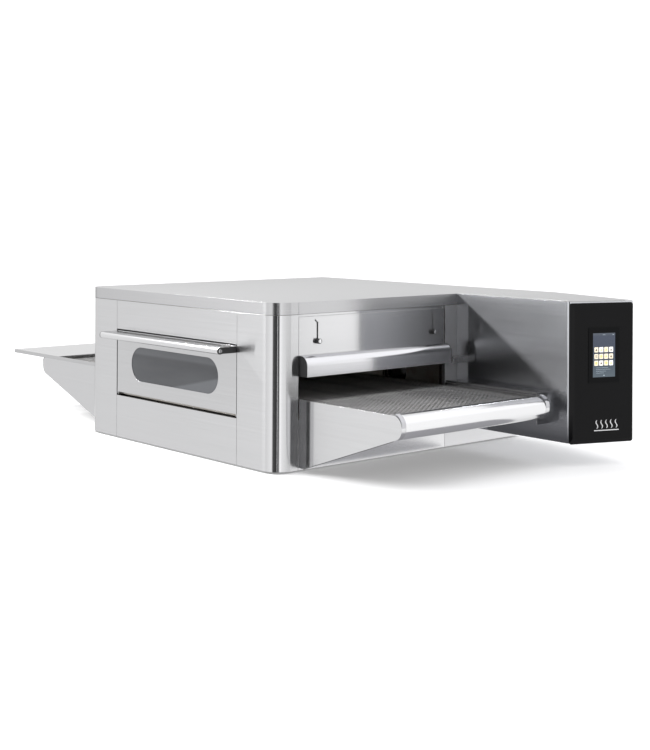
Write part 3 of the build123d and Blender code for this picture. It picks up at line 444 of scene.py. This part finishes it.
def round_rect(x0, x1, y0, y1, radius, steps=4):
    points = []
    for cx, cy, start in ((x1 - radius, y1 - radius, 0), (x0 + radius, y1 - radius, 90),
                          (x0 + radius, y0 + radius, 180), (x1 - radius, y0 + radius, 270)):
        for i in range(steps + 1):
            angle = math.radians(start + 90 * i / steps)
            points.append((cx + radius * math.cos(angle), cy + radius * math.sin(angle)))
    return points


# ---- woven wire belt -------------------------------------------------------------------------
BELT_LO, BELT_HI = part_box("conveyor_belt")
ROD_R = 0.9 * MM
ROD_SIDES = 8
ROD_GAP = 1.0 * MM         # from a rod's end to the belt's edge
WIRE_R = 0.6 * MM
WIRE_MARGIN = 2.0 * MM     # from a spiral's end to the belt's edge
belt_half = ROD_R + 2 * WIRE_R
turn_r = (BELT_HI.z - BELT_LO.z) / 2 - belt_half
belt_mid_z = (BELT_HI.z + BELT_LO.z) / 2
turn_x0 = BELT_LO.x + turn_r + belt_half
turn_x1 = BELT_HI.x - turn_r - belt_half
run = turn_x1 - turn_x0
belt_length = 2 * run + 2 * math.pi * turn_r
ROWS = round(belt_length / (15.7 * MM))      # the cross rods are about 15.7 mm apart
row_pitch = belt_length / ROWS
SPIRAL_PITCH = 20.7 * MM
SLANT = 5.2 * MM           # how far a spiral leans between two rods
RETURN_STEP = 1.6 * MM     # sideways step of a spiral where it goes round a rod
ROW_STAGGER = 1.5 * MM
WIRE_JITTER = 0.35 * MM


def belt_frame(s):
    """Point on the belt's centre line and its outward direction, at a length along the loop."""
    s %= belt_length
    if s < run:
        return Vector((turn_x0 + s, 0, belt_mid_z + turn_r)), Vector((0, 0, 1))
    s -= run
    if s < math.pi * turn_r:
        angle = math.pi / 2 - s / turn_r
        out = Vector((math.cos(angle), 0, math.sin(angle)))
        return Vector((turn_x1, 0, belt_mid_z)) + out * turn_r, out
    s -= math.pi * turn_r
    if s < run:
        return Vector((turn_x1 - s, 0, belt_mid_z - turn_r)), Vector((0, 0, -1))
    s -= run
    angle = -math.pi / 2 - s / turn_r
    out = Vector((math.cos(angle), 0, math.sin(angle)))
    return Vector((turn_x0, 0, belt_mid_z)) + out * turn_r, out


def wire_tube(bm, points, radius, sides):
    """Thin tube through the points, with the same few sides all along."""
    rings = []
    for i, p in enumerate(points):
        forward = (points[min(i + 1, len(points) - 1)] - points[max(i - 1, 0)]).normalized()
        side = forward.cross(Vector((0.37, 0.21, 0.9))).normalized()
        other = forward.cross(side)
        rings.append(ring_of(bm, [p + side * (radius * math.cos(2 * math.pi * k / sides))
                                  + other * (radius * math.sin(2 * math.pi * k / sides))
                                  for k in range(sides)]))
    for a, b in zip(rings, rings[1:]):
        bridge(bm, a, b)
    bm.faces.new(rings[0][::-1])
    bm.faces.new(rings[-1])


def belt_rows(name, first, last, sides, rng):
    """Flattened spirals that join the cross rods and all lean the same way."""
    bm = bmesh.new()
    y0 = BELT_LO.y + WIRE_MARGIN
    y1 = BELT_HI.y - WIRE_MARGIN
    lift = ROD_R + WIRE_R
    for row in range(first, last):
        here, out_a = belt_frame(row * row_pitch)
        there, out_b = belt_frame((row + 1) * row_pitch)
        points = []
        y = y1 - (row % 2) * ROW_STAGGER
        while y - SPIRAL_PITCH > y0:
            shift = rng.uniform(-WIRE_JITTER, WIRE_JITTER)
            for base, out, dy, sign in ((here, out_a, 0.0, 1), (there, out_b, SLANT, 1),
                                        (there, out_b, SLANT + RETURN_STEP, -1),
                                        (here, out_a, SPIRAL_PITCH - RETURN_STEP, -1)):
                points.append(Vector((base.x, y - dy + shift, base.z)) + out * (sign * lift))
            y -= SPIRAL_PITCH
        wire_tube(bm, points, WIRE_R, sides)
    return piece(name, bm, wire, "oven")


def belt_rods():
    """The straight cross rods all round the loop."""
    bm = bmesh.new()
    for row in range(ROWS):
        here = belt_frame(row * row_pitch)[0]
        ends = [Vector((here.x, y, here.z)) for y in (BELT_LO.y + ROD_GAP, BELT_HI.y - ROD_GAP)]
        wire_tube(bm, ends, ROD_R, ROD_SIDES)
    piece("belt_rods", bm, rod_wire, "oven")


belt_rods()
rng = random.Random(7)
top_rows = int(run / row_pitch)
belt_top = belt_rows("belt_mesh_carrying", 0, top_rows + 2, 4, rng)
belt_rows("belt_mesh_return", top_rows + 2, ROWS, 3, rng)
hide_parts("conveyor_belt")

# ---- bands round the conveyor's tips ---------------------------------------------------------
TIP_Z = 183.0              # height of the tips' centre line
BAND_R = 33.05             # just proud of the side plate's own band
BAND_T = 0.3
BAND_W = 16.6
BAND_TURN = 158.0          # degrees from the top round to the underside
BAND_STEPS = 22


def tip_band(name, tip_x, y0, outward):
    """Polished strip wrapped round one tip of a side plate."""
    inner, outer = [], []
    for step in range(BAND_STEPS + 1):
        angle = math.radians(90 - step * BAND_TURN / BAND_STEPS)
        across = Vector((outward * math.cos(angle), 0, math.sin(angle)))
        centre = at(tip_x, y0, TIP_Z)
        inner.append(centre + across * BAND_R * MM)
        outer.append(centre + across * (BAND_R + BAND_T) * MM)
    bm = bmesh.new()
    low = ring_of(bm, inner + outer[::-1])
    high = ring_of(bm, [p + Vector((0, BAND_W * MM, 0)) for p in inner + outer[::-1]])
    bridge(bm, low, high)
    for k in range(BAND_STEPS):
        for row in (low, high):
            bm.faces.new((row[k], row[k + 1], row[-2 - k], row[-1 - k]))
    piece(name, bm, band_steel, "oven")


for side, tip_x, outward in (("right", 405.0, 1), ("left", -1487.0, -1)):
    for place, y0 in (("near", 91.2), ("far", 699.7)):
        tip_band(f"tip_band_{side}_{place}", tip_x, y0, outward)

# ---- painted shadow: thin dark line along the sloping bottom of the near side plate ----------
LINE_Y = 90.8
LINE_H = 1.4
LINE_DEPTH = 1.2
LINE_ENDS = ((23, 7), (405, 140))          # (x, z) where the slope starts and where the tip starts
(x0, z0), (x1, z1) = LINE_ENDS
line = [at(x0, LINE_Y, z0), at(x1, LINE_Y, z1),
        at(x1, LINE_Y, z1 - LINE_H), at(x0, LINE_Y, z0 - LINE_H)]
bm = bmesh.new()
near = ring_of(bm, line)
far = ring_of(bm, [p + Vector((0, LINE_DEPTH * MM, 0)) for p in line])
bridge(bm, near, far)
bm.faces.new(near)
bm.faces.new(far)
# the dark strip is painted shadow, where the plate's fold throws its shadow
piece("plate_edge_painted_shadow", bm, edge_dark, "oven", smooth=False)

# ---- knobs -----------------------------------------------------------------------------------
for side, outward in (("right", 1), ("left", -1)):
    for place in ("front", "rear"):
        node = f"knob_{side}_{place}"
        lo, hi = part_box(node)
        centre = (lo + hi) / 2
        radius = (hi.z - lo.z) / 2
        length = hi.x - lo.x
        start = Vector((lo.x if outward > 0 else hi.x, centre.y, centre.z))

        def knurl(r, height, i, radius=radius, length=length):
            grip = 0.16 * length < height < 0.84 * length and r > 0.9 * radius
            return r - 0.35 * MM if grip and i % 2 else r

        bm = bmesh.new()
        turned(bm, start, (outward, 0, 0),
               [(0.72 * radius, 0), (0.95 * radius, 0.04 * length), (radius, 0.12 * length),
                (radius, 0.2 * length), (radius, 0.8 * length), (radius, 0.88 * length),
                (0.93 * radius, 0.95 * length), (0.80 * radius, 0.965 * length)], 48, knurl)
        body = piece(f"{node}_grip", bm, plastic, node)
        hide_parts(node)
        bm = bmesh.new()
        turned(bm, start + Vector((outward * 0.95 * length, 0, 0)), (outward, 0, 0),
               [(0.80 * radius, 0), (0.80 * radius, 0.03 * length), (0.70 * radius, 0.05 * length),
                (0.16 * radius, 0.035 * length)], 40)
        piece(f"{node}_face", bm, chrome, node)

# ---- handle end discs ------------------------------------------------------------------------
TUBE_LO, TUBE_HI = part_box("door_handle")
END_LO, END_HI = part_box("handle_end_plates")
tube_y = (TUBE_LO.y + TUBE_HI.y) / 2
tube_z = (TUBE_LO.z + TUBE_HI.z) / 2
for side, x, outward in (("right", END_HI.x, 1), ("left", END_LO.x, -1)):
    bm = bmesh.new()
    turned(bm, Vector((x, tube_y, tube_z)), (outward, 0, 0),
           [(6.3 * MM, 0), (6.3 * MM, 0.7 * MM), (5.7 * MM, 1.2 * MM), (0.8 * MM, 1.5 * MM)], 40)
    piece(f"handle_disc_{side}", bm, chrome, "door")

# ---- fascia: screen, tiles and badge -----------------------------------------------------------
FRONT_U = Vector((79.0, 210.0, 0.0)).normalized()
FRONT_W = Vector((FRONT_U.y, -FRONT_U.x, 0.0))
UP = Vector((0.0, 0.0, 1.0))
SCREEN_LO, SCREEN_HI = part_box("display_glass")
screen_mid = (SCREEN_LO + SCREEN_HI) / 2
screen_face = screen_mid + FRONT_W * 0.4 * MM
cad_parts["display_glass"].data.materials.clear()
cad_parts["display_glass"].data.materials.append(screen_material(screen_mid, FRONT_U))

tile_low = lit_material("tile_cream", (0.40, 0.33, 0.20), (0.85, 0.80, 0.68))
tile_white = lit_material("tile_white", (0.50, 0.50, 0.48), (0.95, 0.93, 0.88))
tile_amber = lit_material("tile_amber", (0.55, 0.26, 0.07), (0.90, 0.62, 0.28))
tile_dark = lit_material("tile_dark", (0.10, 0.08, 0.06), (0.22, 0.17, 0.12), strength=0.4)
COLUMNS = 4
TILE_ROWS = 3
TILE_W = 14.0 * MM
TILE_H = 15.6 * MM
TILE_T = 0.15 * MM
TILE_CORNER = 2.2 * MM
PITCH_U = 17.4 * MM
PITCH_V = 20.5 * MM
GROUP_U = -1.2 * MM        # the tiles' middle, seen from the screen's middle
GROUP_V = -3.8 * MM
MARK_T = 0.1 * MM


def level_box(half, low, high):
    """Outline of a rectangle that is centred sideways."""
    return [(-half, low), (half, low), (half, high), (-half, high)]


def tile_marks(kind, s):
    """Plain shapes drawn in a tile, as outlines of (u, v) pairs; s is half the tile's width."""
    angles = [k * math.pi / 8 for k in range(16)]
    disc = [(0.62 * s * math.cos(angle), 0.62 * s * math.sin(angle)) for angle in angles]
    if kind == 0:
        return [disc]
    if kind == 1:
        return [level_box(0.6 * s, v, v + 0.22 * s) for v in (-0.62 * s, -0.11 * s, 0.4 * s)]
    if kind == 2:
        return [[(-0.6 * s, -0.55 * s), (0.6 * s, -0.55 * s), (0.0, 0.6 * s)]]
    return [level_box(0.55 * s, -0.5 * s, 0.1 * s), level_box(0.3 * s, 0.25 * s, 0.55 * s)]


plates = {tile_low: bmesh.new(), tile_white: bmesh.new()}
marks = {tile_amber: bmesh.new(), tile_dark: bmesh.new()}
for row in range(TILE_ROWS):
    for column in range(COLUMNS):
        du = (column - (COLUMNS - 1) / 2) * PITCH_U + GROUP_U
        dv = (row - (TILE_ROWS - 1) / 2) * PITCH_V + GROUP_V
        origin = screen_face + FRONT_U * du + UP * dv
        which = (tile_low, tile_white)[(row * 2 + column * 3 + row * column) % 2]
        outline = round_rect(-TILE_W / 2, TILE_W / 2, -TILE_H / 2, TILE_H / 2, TILE_CORNER)
        slab(plates[which], origin, FRONT_U, UP, FRONT_W, outline, TILE_T)
        kind = (row + 2 * column + row * column) % 4
        ink = (tile_amber, tile_dark)[(column + row * row) % 3 == 1]
        for shape in tile_marks(kind, TILE_W / 2):
            slab(marks[ink], origin + FRONT_W * TILE_T, FRONT_U, UP, FRONT_W, shape, MARK_T)
for label, group in (("tiles", plates), ("marks", marks)):
    for index, (material, bm) in enumerate(group.items()):
        piece(f"screen_{label}_{index}", bm, material, "oven", smooth=False)

FINE_T = 0.12 * MM
BAR_H = 1.8                # small bars at the screen's top and foot, in mm as (u0, u1, v0)
SMALL_BARS = ((-3.6, -1.2, 61.5), (1.2, 3.6, 61.5), (30.0, 34.0, 61.5), (-3.0, 3.0, -63.0))
DOT_PITCH = 4.0
DOT_W = 2.2 * MM
DOT_H = 1.1 * MM
DOTS_LEFT = -28.0
DOTS_TOP = -39.0
LINE_PITCH = 5.4
LINE_WIDTHS = (46.0, 52.0, 38.0, 30.0)
screen_pale = lit_material("screen_pale", (0.26, 0.32, 0.37), (0.42, 0.48, 0.52), strength=0.6)
bm = bmesh.new()
for u0, u1, v0 in SMALL_BARS:
    outline = round_rect(u0 * MM, u1 * MM, v0 * MM, (v0 + BAR_H) * MM, 0.6 * MM, 2)
    slab(bm, screen_face, FRONT_U, UP, FRONT_W, outline, FINE_T)
for number, width in enumerate(LINE_WIDTHS):
    for dot in range(int(width / DOT_PITCH)):
        u0 = (DOTS_LEFT + dot * DOT_PITCH) * MM
        v0 = (DOTS_TOP - number * LINE_PITCH) * MM
        outline = [(u0, v0), (u0 + DOT_W, v0), (u0 + DOT_W, v0 + DOT_H), (u0, v0 + DOT_H)]
        slab(bm, screen_face, FRONT_U, UP, FRONT_W, outline, FINE_T)
piece("screen_fine_marks", bm, screen_pale, "oven", smooth=False)

FASCIA_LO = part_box("control_fascia")[0]
BADGE_UP = 58.0 * MM       # the icon's middle above the fascia's lower edge
BADGE_ALONG = 10 * MM      # and sideways from the screen's middle
BADGE_SUNK = 0.38 * MM
BADGE_T = 0.5 * MM
WAVES = 5
WAVE_PITCH = 17.0 * MM
WAVE_H = 26.0 * MM
WAVE_SWING = 3.2 * MM
WAVE_STEPS = 24
badge_mid = Vector((screen_mid.x, screen_mid.y, FASCIA_LO.z + BADGE_UP)) + FRONT_U * BADGE_ALONG
badge_mid -= FRONT_W * (screen_mid - badge_mid).dot(-FRONT_W)
badge_face = badge_mid - FRONT_W * BADGE_SUNK
bm = bmesh.new()
for index in range(WAVES):
    centre_u = (index - (WAVES - 1) / 2) * WAVE_PITCH
    left, right = [], []
    for step in range(WAVE_STEPS + 1):
        part = step / WAVE_STEPS
        v = (part - 0.5) * WAVE_H
        u = centre_u + WAVE_SWING * math.sin(part * 2 * math.pi)
        half = (1.1 + 0.7 * math.sin(part * math.pi)) * MM
        left.append((u - half, v))
        right.append((u + half, v))
    slab(bm, badge_face, FRONT_U, UP, FRONT_W, left + right[::-1], BADGE_T)
bar = round_rect(-44 * MM, 44 * MM, -20.5 * MM, -17.5 * MM, 1.4 * MM, 3)
slab(bm, badge_face, FRONT_U, UP, FRONT_W, bar, BADGE_T)
piece("fascia_heat_icon", bm, white_print, "oven", smooth=False)


# ---- screws ----------------------------------------------------------------------------------
SCREW_R = 4.2 * MM
SOCKET_R = 0.43 * SCREW_R


def hexagon(r, height, i):
    """Pull the inner rings in at every fourth of 24 points, for a six cornered socket."""
    return r * (1 - 0.12 * (i % 4 == 2)) if r < SOCKET_R else r


def screw_heads(name, places, normal):
    """Low domed heads with a hexagonal socket."""
    profile = [(share_r * SCREW_R, share_h * SCREW_R) for share_r, share_h in
               ((1, 0), (1, 0.25), (0.86, 0.48), (0.45, 0.60), (0.42, 0.25))]
    bm = bmesh.new()
    for place in places:
        turned(bm, place, normal, profile, 24, hexagon)
    piece(name, bm, screw_metal, "oven")


REAR_LO, REAR_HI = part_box("rear_panel")
REAR_COLUMNS = 5
IN_X = 30 * MM             # the rows' first screw, in from the panel's side
IN_Z = 20 * MM
SIDE_IN_X = 18 * MM
rear = []
for k in range(REAR_COLUMNS):
    x = REAR_LO.x + IN_X + k * (REAR_HI.x - REAR_LO.x - 2 * IN_X) / (REAR_COLUMNS - 1)
    for z in (REAR_LO.z + IN_Z, REAR_HI.z - IN_Z):
        rear.append(Vector((x, REAR_HI.y, z)))
for x in (REAR_LO.x + SIDE_IN_X, REAR_HI.x - SIDE_IN_X):
    for k in (1, 2):
        rear.append(Vector((x, REAR_HI.y, REAR_LO.z + k * (REAR_HI.z - REAR_LO.z) / 3)))
screw_heads("rear_panel_screws", rear, (0, 1, 0))

END_LOW, END_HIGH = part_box("rear_end_panels")
end_ys = (END_HIGH.y - 20 * MM, END_HIGH.y - 190 * MM)
end_zs = (END_LOW.z + 25 * MM, (END_LOW.z + END_HIGH.z) / 2, END_HIGH.z - 25 * MM)
left = [Vector((END_LOW.x, y, z)) for y in end_ys for z in end_zs]
screw_heads("left_panel_screws", left, (-1, 0, 0))


# ---- floor and light cards -------------------------------------------------------------------
def studio_sheet(name, corners, material):
    """Flat four sided sheet with one material, for the floor and the light cards."""
    bm = bmesh.new()
    bm.faces.new(ring_of(bm, corners))
    mesh = bpy.data.meshes.new(name)
    bm.to_mesh(mesh)
    bm.free()
    mesh.materials.append(material)
    obj = bpy.data.objects.new(name, mesh)
    bpy.context.scene.collection.objects.link(obj)
    return obj


def reflections_only(card, shadow):
    """Hide a card from the camera and from diffuse light; it may still throw a shadow."""
    card.visible_camera = False
    card.visible_diffuse = False
    card.visible_shadow = shadow


def emission(tree, colour, strength=1.0):
    return add(tree, "ShaderNodeEmission", {"Color": (*colour, 1.0), "Strength": strength})


def floor_material():
    mat, tree = new_tree("studio_floor")
    pale = add(tree, "ShaderNodeBsdfDiffuse", {"Color": (0.93, 0.93, 0.935, 1.0)})
    glow = emission(tree, (1.0, 1.0, 1.0), FLOOR_GLOW)
    both = add(tree, "ShaderNodeAddShader", {0: pale.outputs[0], 1: glow.outputs[0]})
    finish_material(tree, both)
    return mat


def under_material():
    mat, tree = new_tree("under_shade")
    finish_material(tree, add(tree, "ShaderNodeBsdfDiffuse", {"Color": (0.05, 0.05, 0.05, 1.0)}))
    return mat


def nose_material():
    mat, tree = new_tree("nose_shade")
    finish_material(tree, emission(tree, (0.42, 0.42, 0.44)))
    return mat


def flag_material():
    """Painted shade: dark on one side only, fading out upwards."""
    mat, tree = new_tree("side_shade_flag")
    dark = emission(tree, (0.10, 0.10, 0.105))
    clear = add(tree, "ShaderNodeBsdfTransparent")
    behind = add(tree, "ShaderNodeNewGeometry").outputs["Backfacing"]
    level = add(tree, "ShaderNodeSeparateXYZ", {0: object_place(tree)}).outputs[2]
    fade = ramp(tree, level, [(FLAG_FADE[0], 1.0), (FLAG_FADE[1], 0.0)])
    share = maths(tree, "MULTIPLY", behind, fade)
    mix = add(tree, "ShaderNodeMixShader", {0: share, 1: clear.outputs[0], 2: dark.outputs[0]})
    finish_material(tree, mix)
    return mat


FLOOR_HALF = 30            # metres
FLOOR_GLOW = 0.26
FLAG_Y = 752
FLAG_FADE = (0.08, 0.155)  # heights, in metres
floor_corners = [(-FLOOR_HALF, -FLOOR_HALF, 0), (FLOOR_HALF, -FLOOR_HALF, 0),
                 (FLOOR_HALF, FLOOR_HALF, 0), (-FLOOR_HALF, FLOOR_HALF, 0)]
floor = studio_sheet("studio_floor", floor_corners, floor_material())
floor.visible_glossy = False

# Under the body, so that the skirt's reflections end in the dark.
under = [at(-1030, 10, -4), at(-4, 10, -4), at(-4, 1080, -4), at(-1030, 1080, -4)]
reflections_only(studio_sheet("under_shade", under, under_material()), shadow=True)

# Grey under the right nose, for the end panel and the control box's wall.
below_nose = [at(30, 130, -4), at(640, 130, -4), at(640, 740, -4), at(30, 740, -4)]
reflections_only(studio_sheet("nose_shade", below_nose, nose_material()), shadow=False)

# Beside the far side plate: a dark sheet of painted shade for the shaded ground under the conveyor,
# seen only by the control box's wall.
flag = [at(120, FLAG_Y, -3), at(560, FLAG_Y, -3), at(560, FLAG_Y, 150), at(120, FLAG_Y, 150)]
reflections_only(studio_sheet("side_shade_flag", flag, flag_material()), shadow=False)

# ---- studio all round ------------------------------------------------------------------------
world = bpy.data.worlds.new("studio")
bpy.context.scene.world = world
world.use_nodes = True
tree = world.node_tree
tree.nodes.clear()
direction = add(tree, "ShaderNodeTexCoord").outputs["Generated"]
parts = add(tree, "ShaderNodeSeparateXYZ", {0: direction}).outputs
azimuth = maths(tree, "ARCTAN2", parts[1], parts[0])
turn = scaled(tree, azimuth, 1 / (2 * math.pi), 0.5)


def stop(degrees, value):
    """Ramp stop at an azimuth, counted from +X towards +Y."""
    return (degrees / 360 + 0.5, value)


def rise(degrees, value):
    """Ramp stop at a height above the horizon."""
    return (0.5 + 0.5 * math.sin(math.radians(degrees)), value)


around = ramp(tree, turn, [
    stop(-180, 1.0), stop(-150, 0.97), stop(-110, 0.97), stop(-84, 1.15), stop(-74, 1.15),
    stop(-68, 0.10), stop(-37, 0.03), stop(-34, 0.25), stop(-28, 1.45), stop(-14, 1.15),
    stop(10, 0.98), stop(30, 0.90), stop(39.6, 0.95), stop(40.8, 1.30), stop(64, 1.20),
    stop(118, 1.0), stop(130, 1.28), stop(158, 1.24), stop(180, 0.92)])
slot_of_light = ramp(tree, turn, [
    stop(-44.2, 0.0), stop(-43.4, 0.6), stop(-42.7, 1.0), stop(-42.0, 1.0), stop(-41.3, 0.0)])
height = scaled(tree, parts[2], 0.5, 0.5)
overhead = ramp(tree, height, [rise(-90, 0.0), rise(62, 0.0), rise(72, 1.0)])
sky = blend(tree, slot_of_light, around, (1.25, 1.25, 1.27))
sky = blend(tree, overhead, sky, (1.15, 1.15, 1.17))
side_of_box = ramp(tree, turn, [stop(16, 0.0), stop(26, 1.0), stop(112, 1.0), stop(122, 0.0)])
rise_of_box = ramp(tree, height, [rise(18, 0.0), rise(25, 1.0), rise(72, 1.0), rise(78, 0.0)])
softbox = maths(tree, "MULTIPLY", side_of_box, rise_of_box)
sky = blend(tree, softbox, sky, (1.4, 1.4, 1.42))
below = ramp(tree, height, [rise(-50, 0.95), rise(-18, 1.0)])
sky = blend(tree, 1.0, sky, below, "MULTIPLY")
background = add(tree, "ShaderNodeBackground", {"Color": sky, "Strength": 1.0})
out = add(tree, "ShaderNodeOutputWorld")
tree.links.new(background.outputs[0], out.inputs[0])

# ---- lamp and camera -------------------------------------------------------------------------
# A long lamp parallel to the lid's end throws that edge as a slanting shadow on the control box.
away = Vector((-1.0, 0.0, 0.655)).normalized()
along = Vector((0.0, 1.0, 0.0))
LAMP_AWAY = 3.6            # metres from the lid's edge
LAMP_ALONG = -2800         # the strip's middle, in mm along Y
light = bpy.data.lights.new("key_light", "AREA")
light.shape = "RECTANGLE"
light.size = 0.25
light.size_y = 4.5
light.energy = 240
lamp = bpy.data.objects.new("key_light", light)
lamp.location = at(0, LAMP_ALONG, BODY_TOP) + away * LAMP_AWAY
lamp.rotation_mode = "QUATERNION"
lamp.rotation_quaternion = Matrix((along.cross(away), along, away)).transposed().to_quaternion()
bpy.context.scene.collection.objects.link(lamp)

CAMERA_AT = at(3102.7, -2512.7, 787.6)
CAMERA_TURN = 0.8541
CAMERA_ROLL = 0.0051
FOCAL = 65.36
SHIFT_Y = -0.2258
cam_data = bpy.data.cameras.new("camera")
cam_data.lens = FOCAL
cam_data.sensor_width = 36.0
cam_data.shift_y = SHIFT_Y
cam_data.clip_start = 0.05
cam_data.clip_end = 100.0
camera = bpy.data.objects.new("camera", cam_data)
camera.location = CAMERA_AT
camera.rotation_mode = "QUATERNION"
level = Matrix.Rotation(CAMERA_TURN, 4, "Z") @ Matrix.Rotation(math.pi / 2, 4, "X")
camera.rotation_quaternion = (level @ Matrix.Rotation(CAMERA_ROLL, 4, "Z")).to_quaternion()
bpy.context.scene.collection.objects.link(camera)
bpy.context.scene.camera = camera

view = bpy.context.scene.view_settings
view.view_transform = "Standard"
view.look = "None"
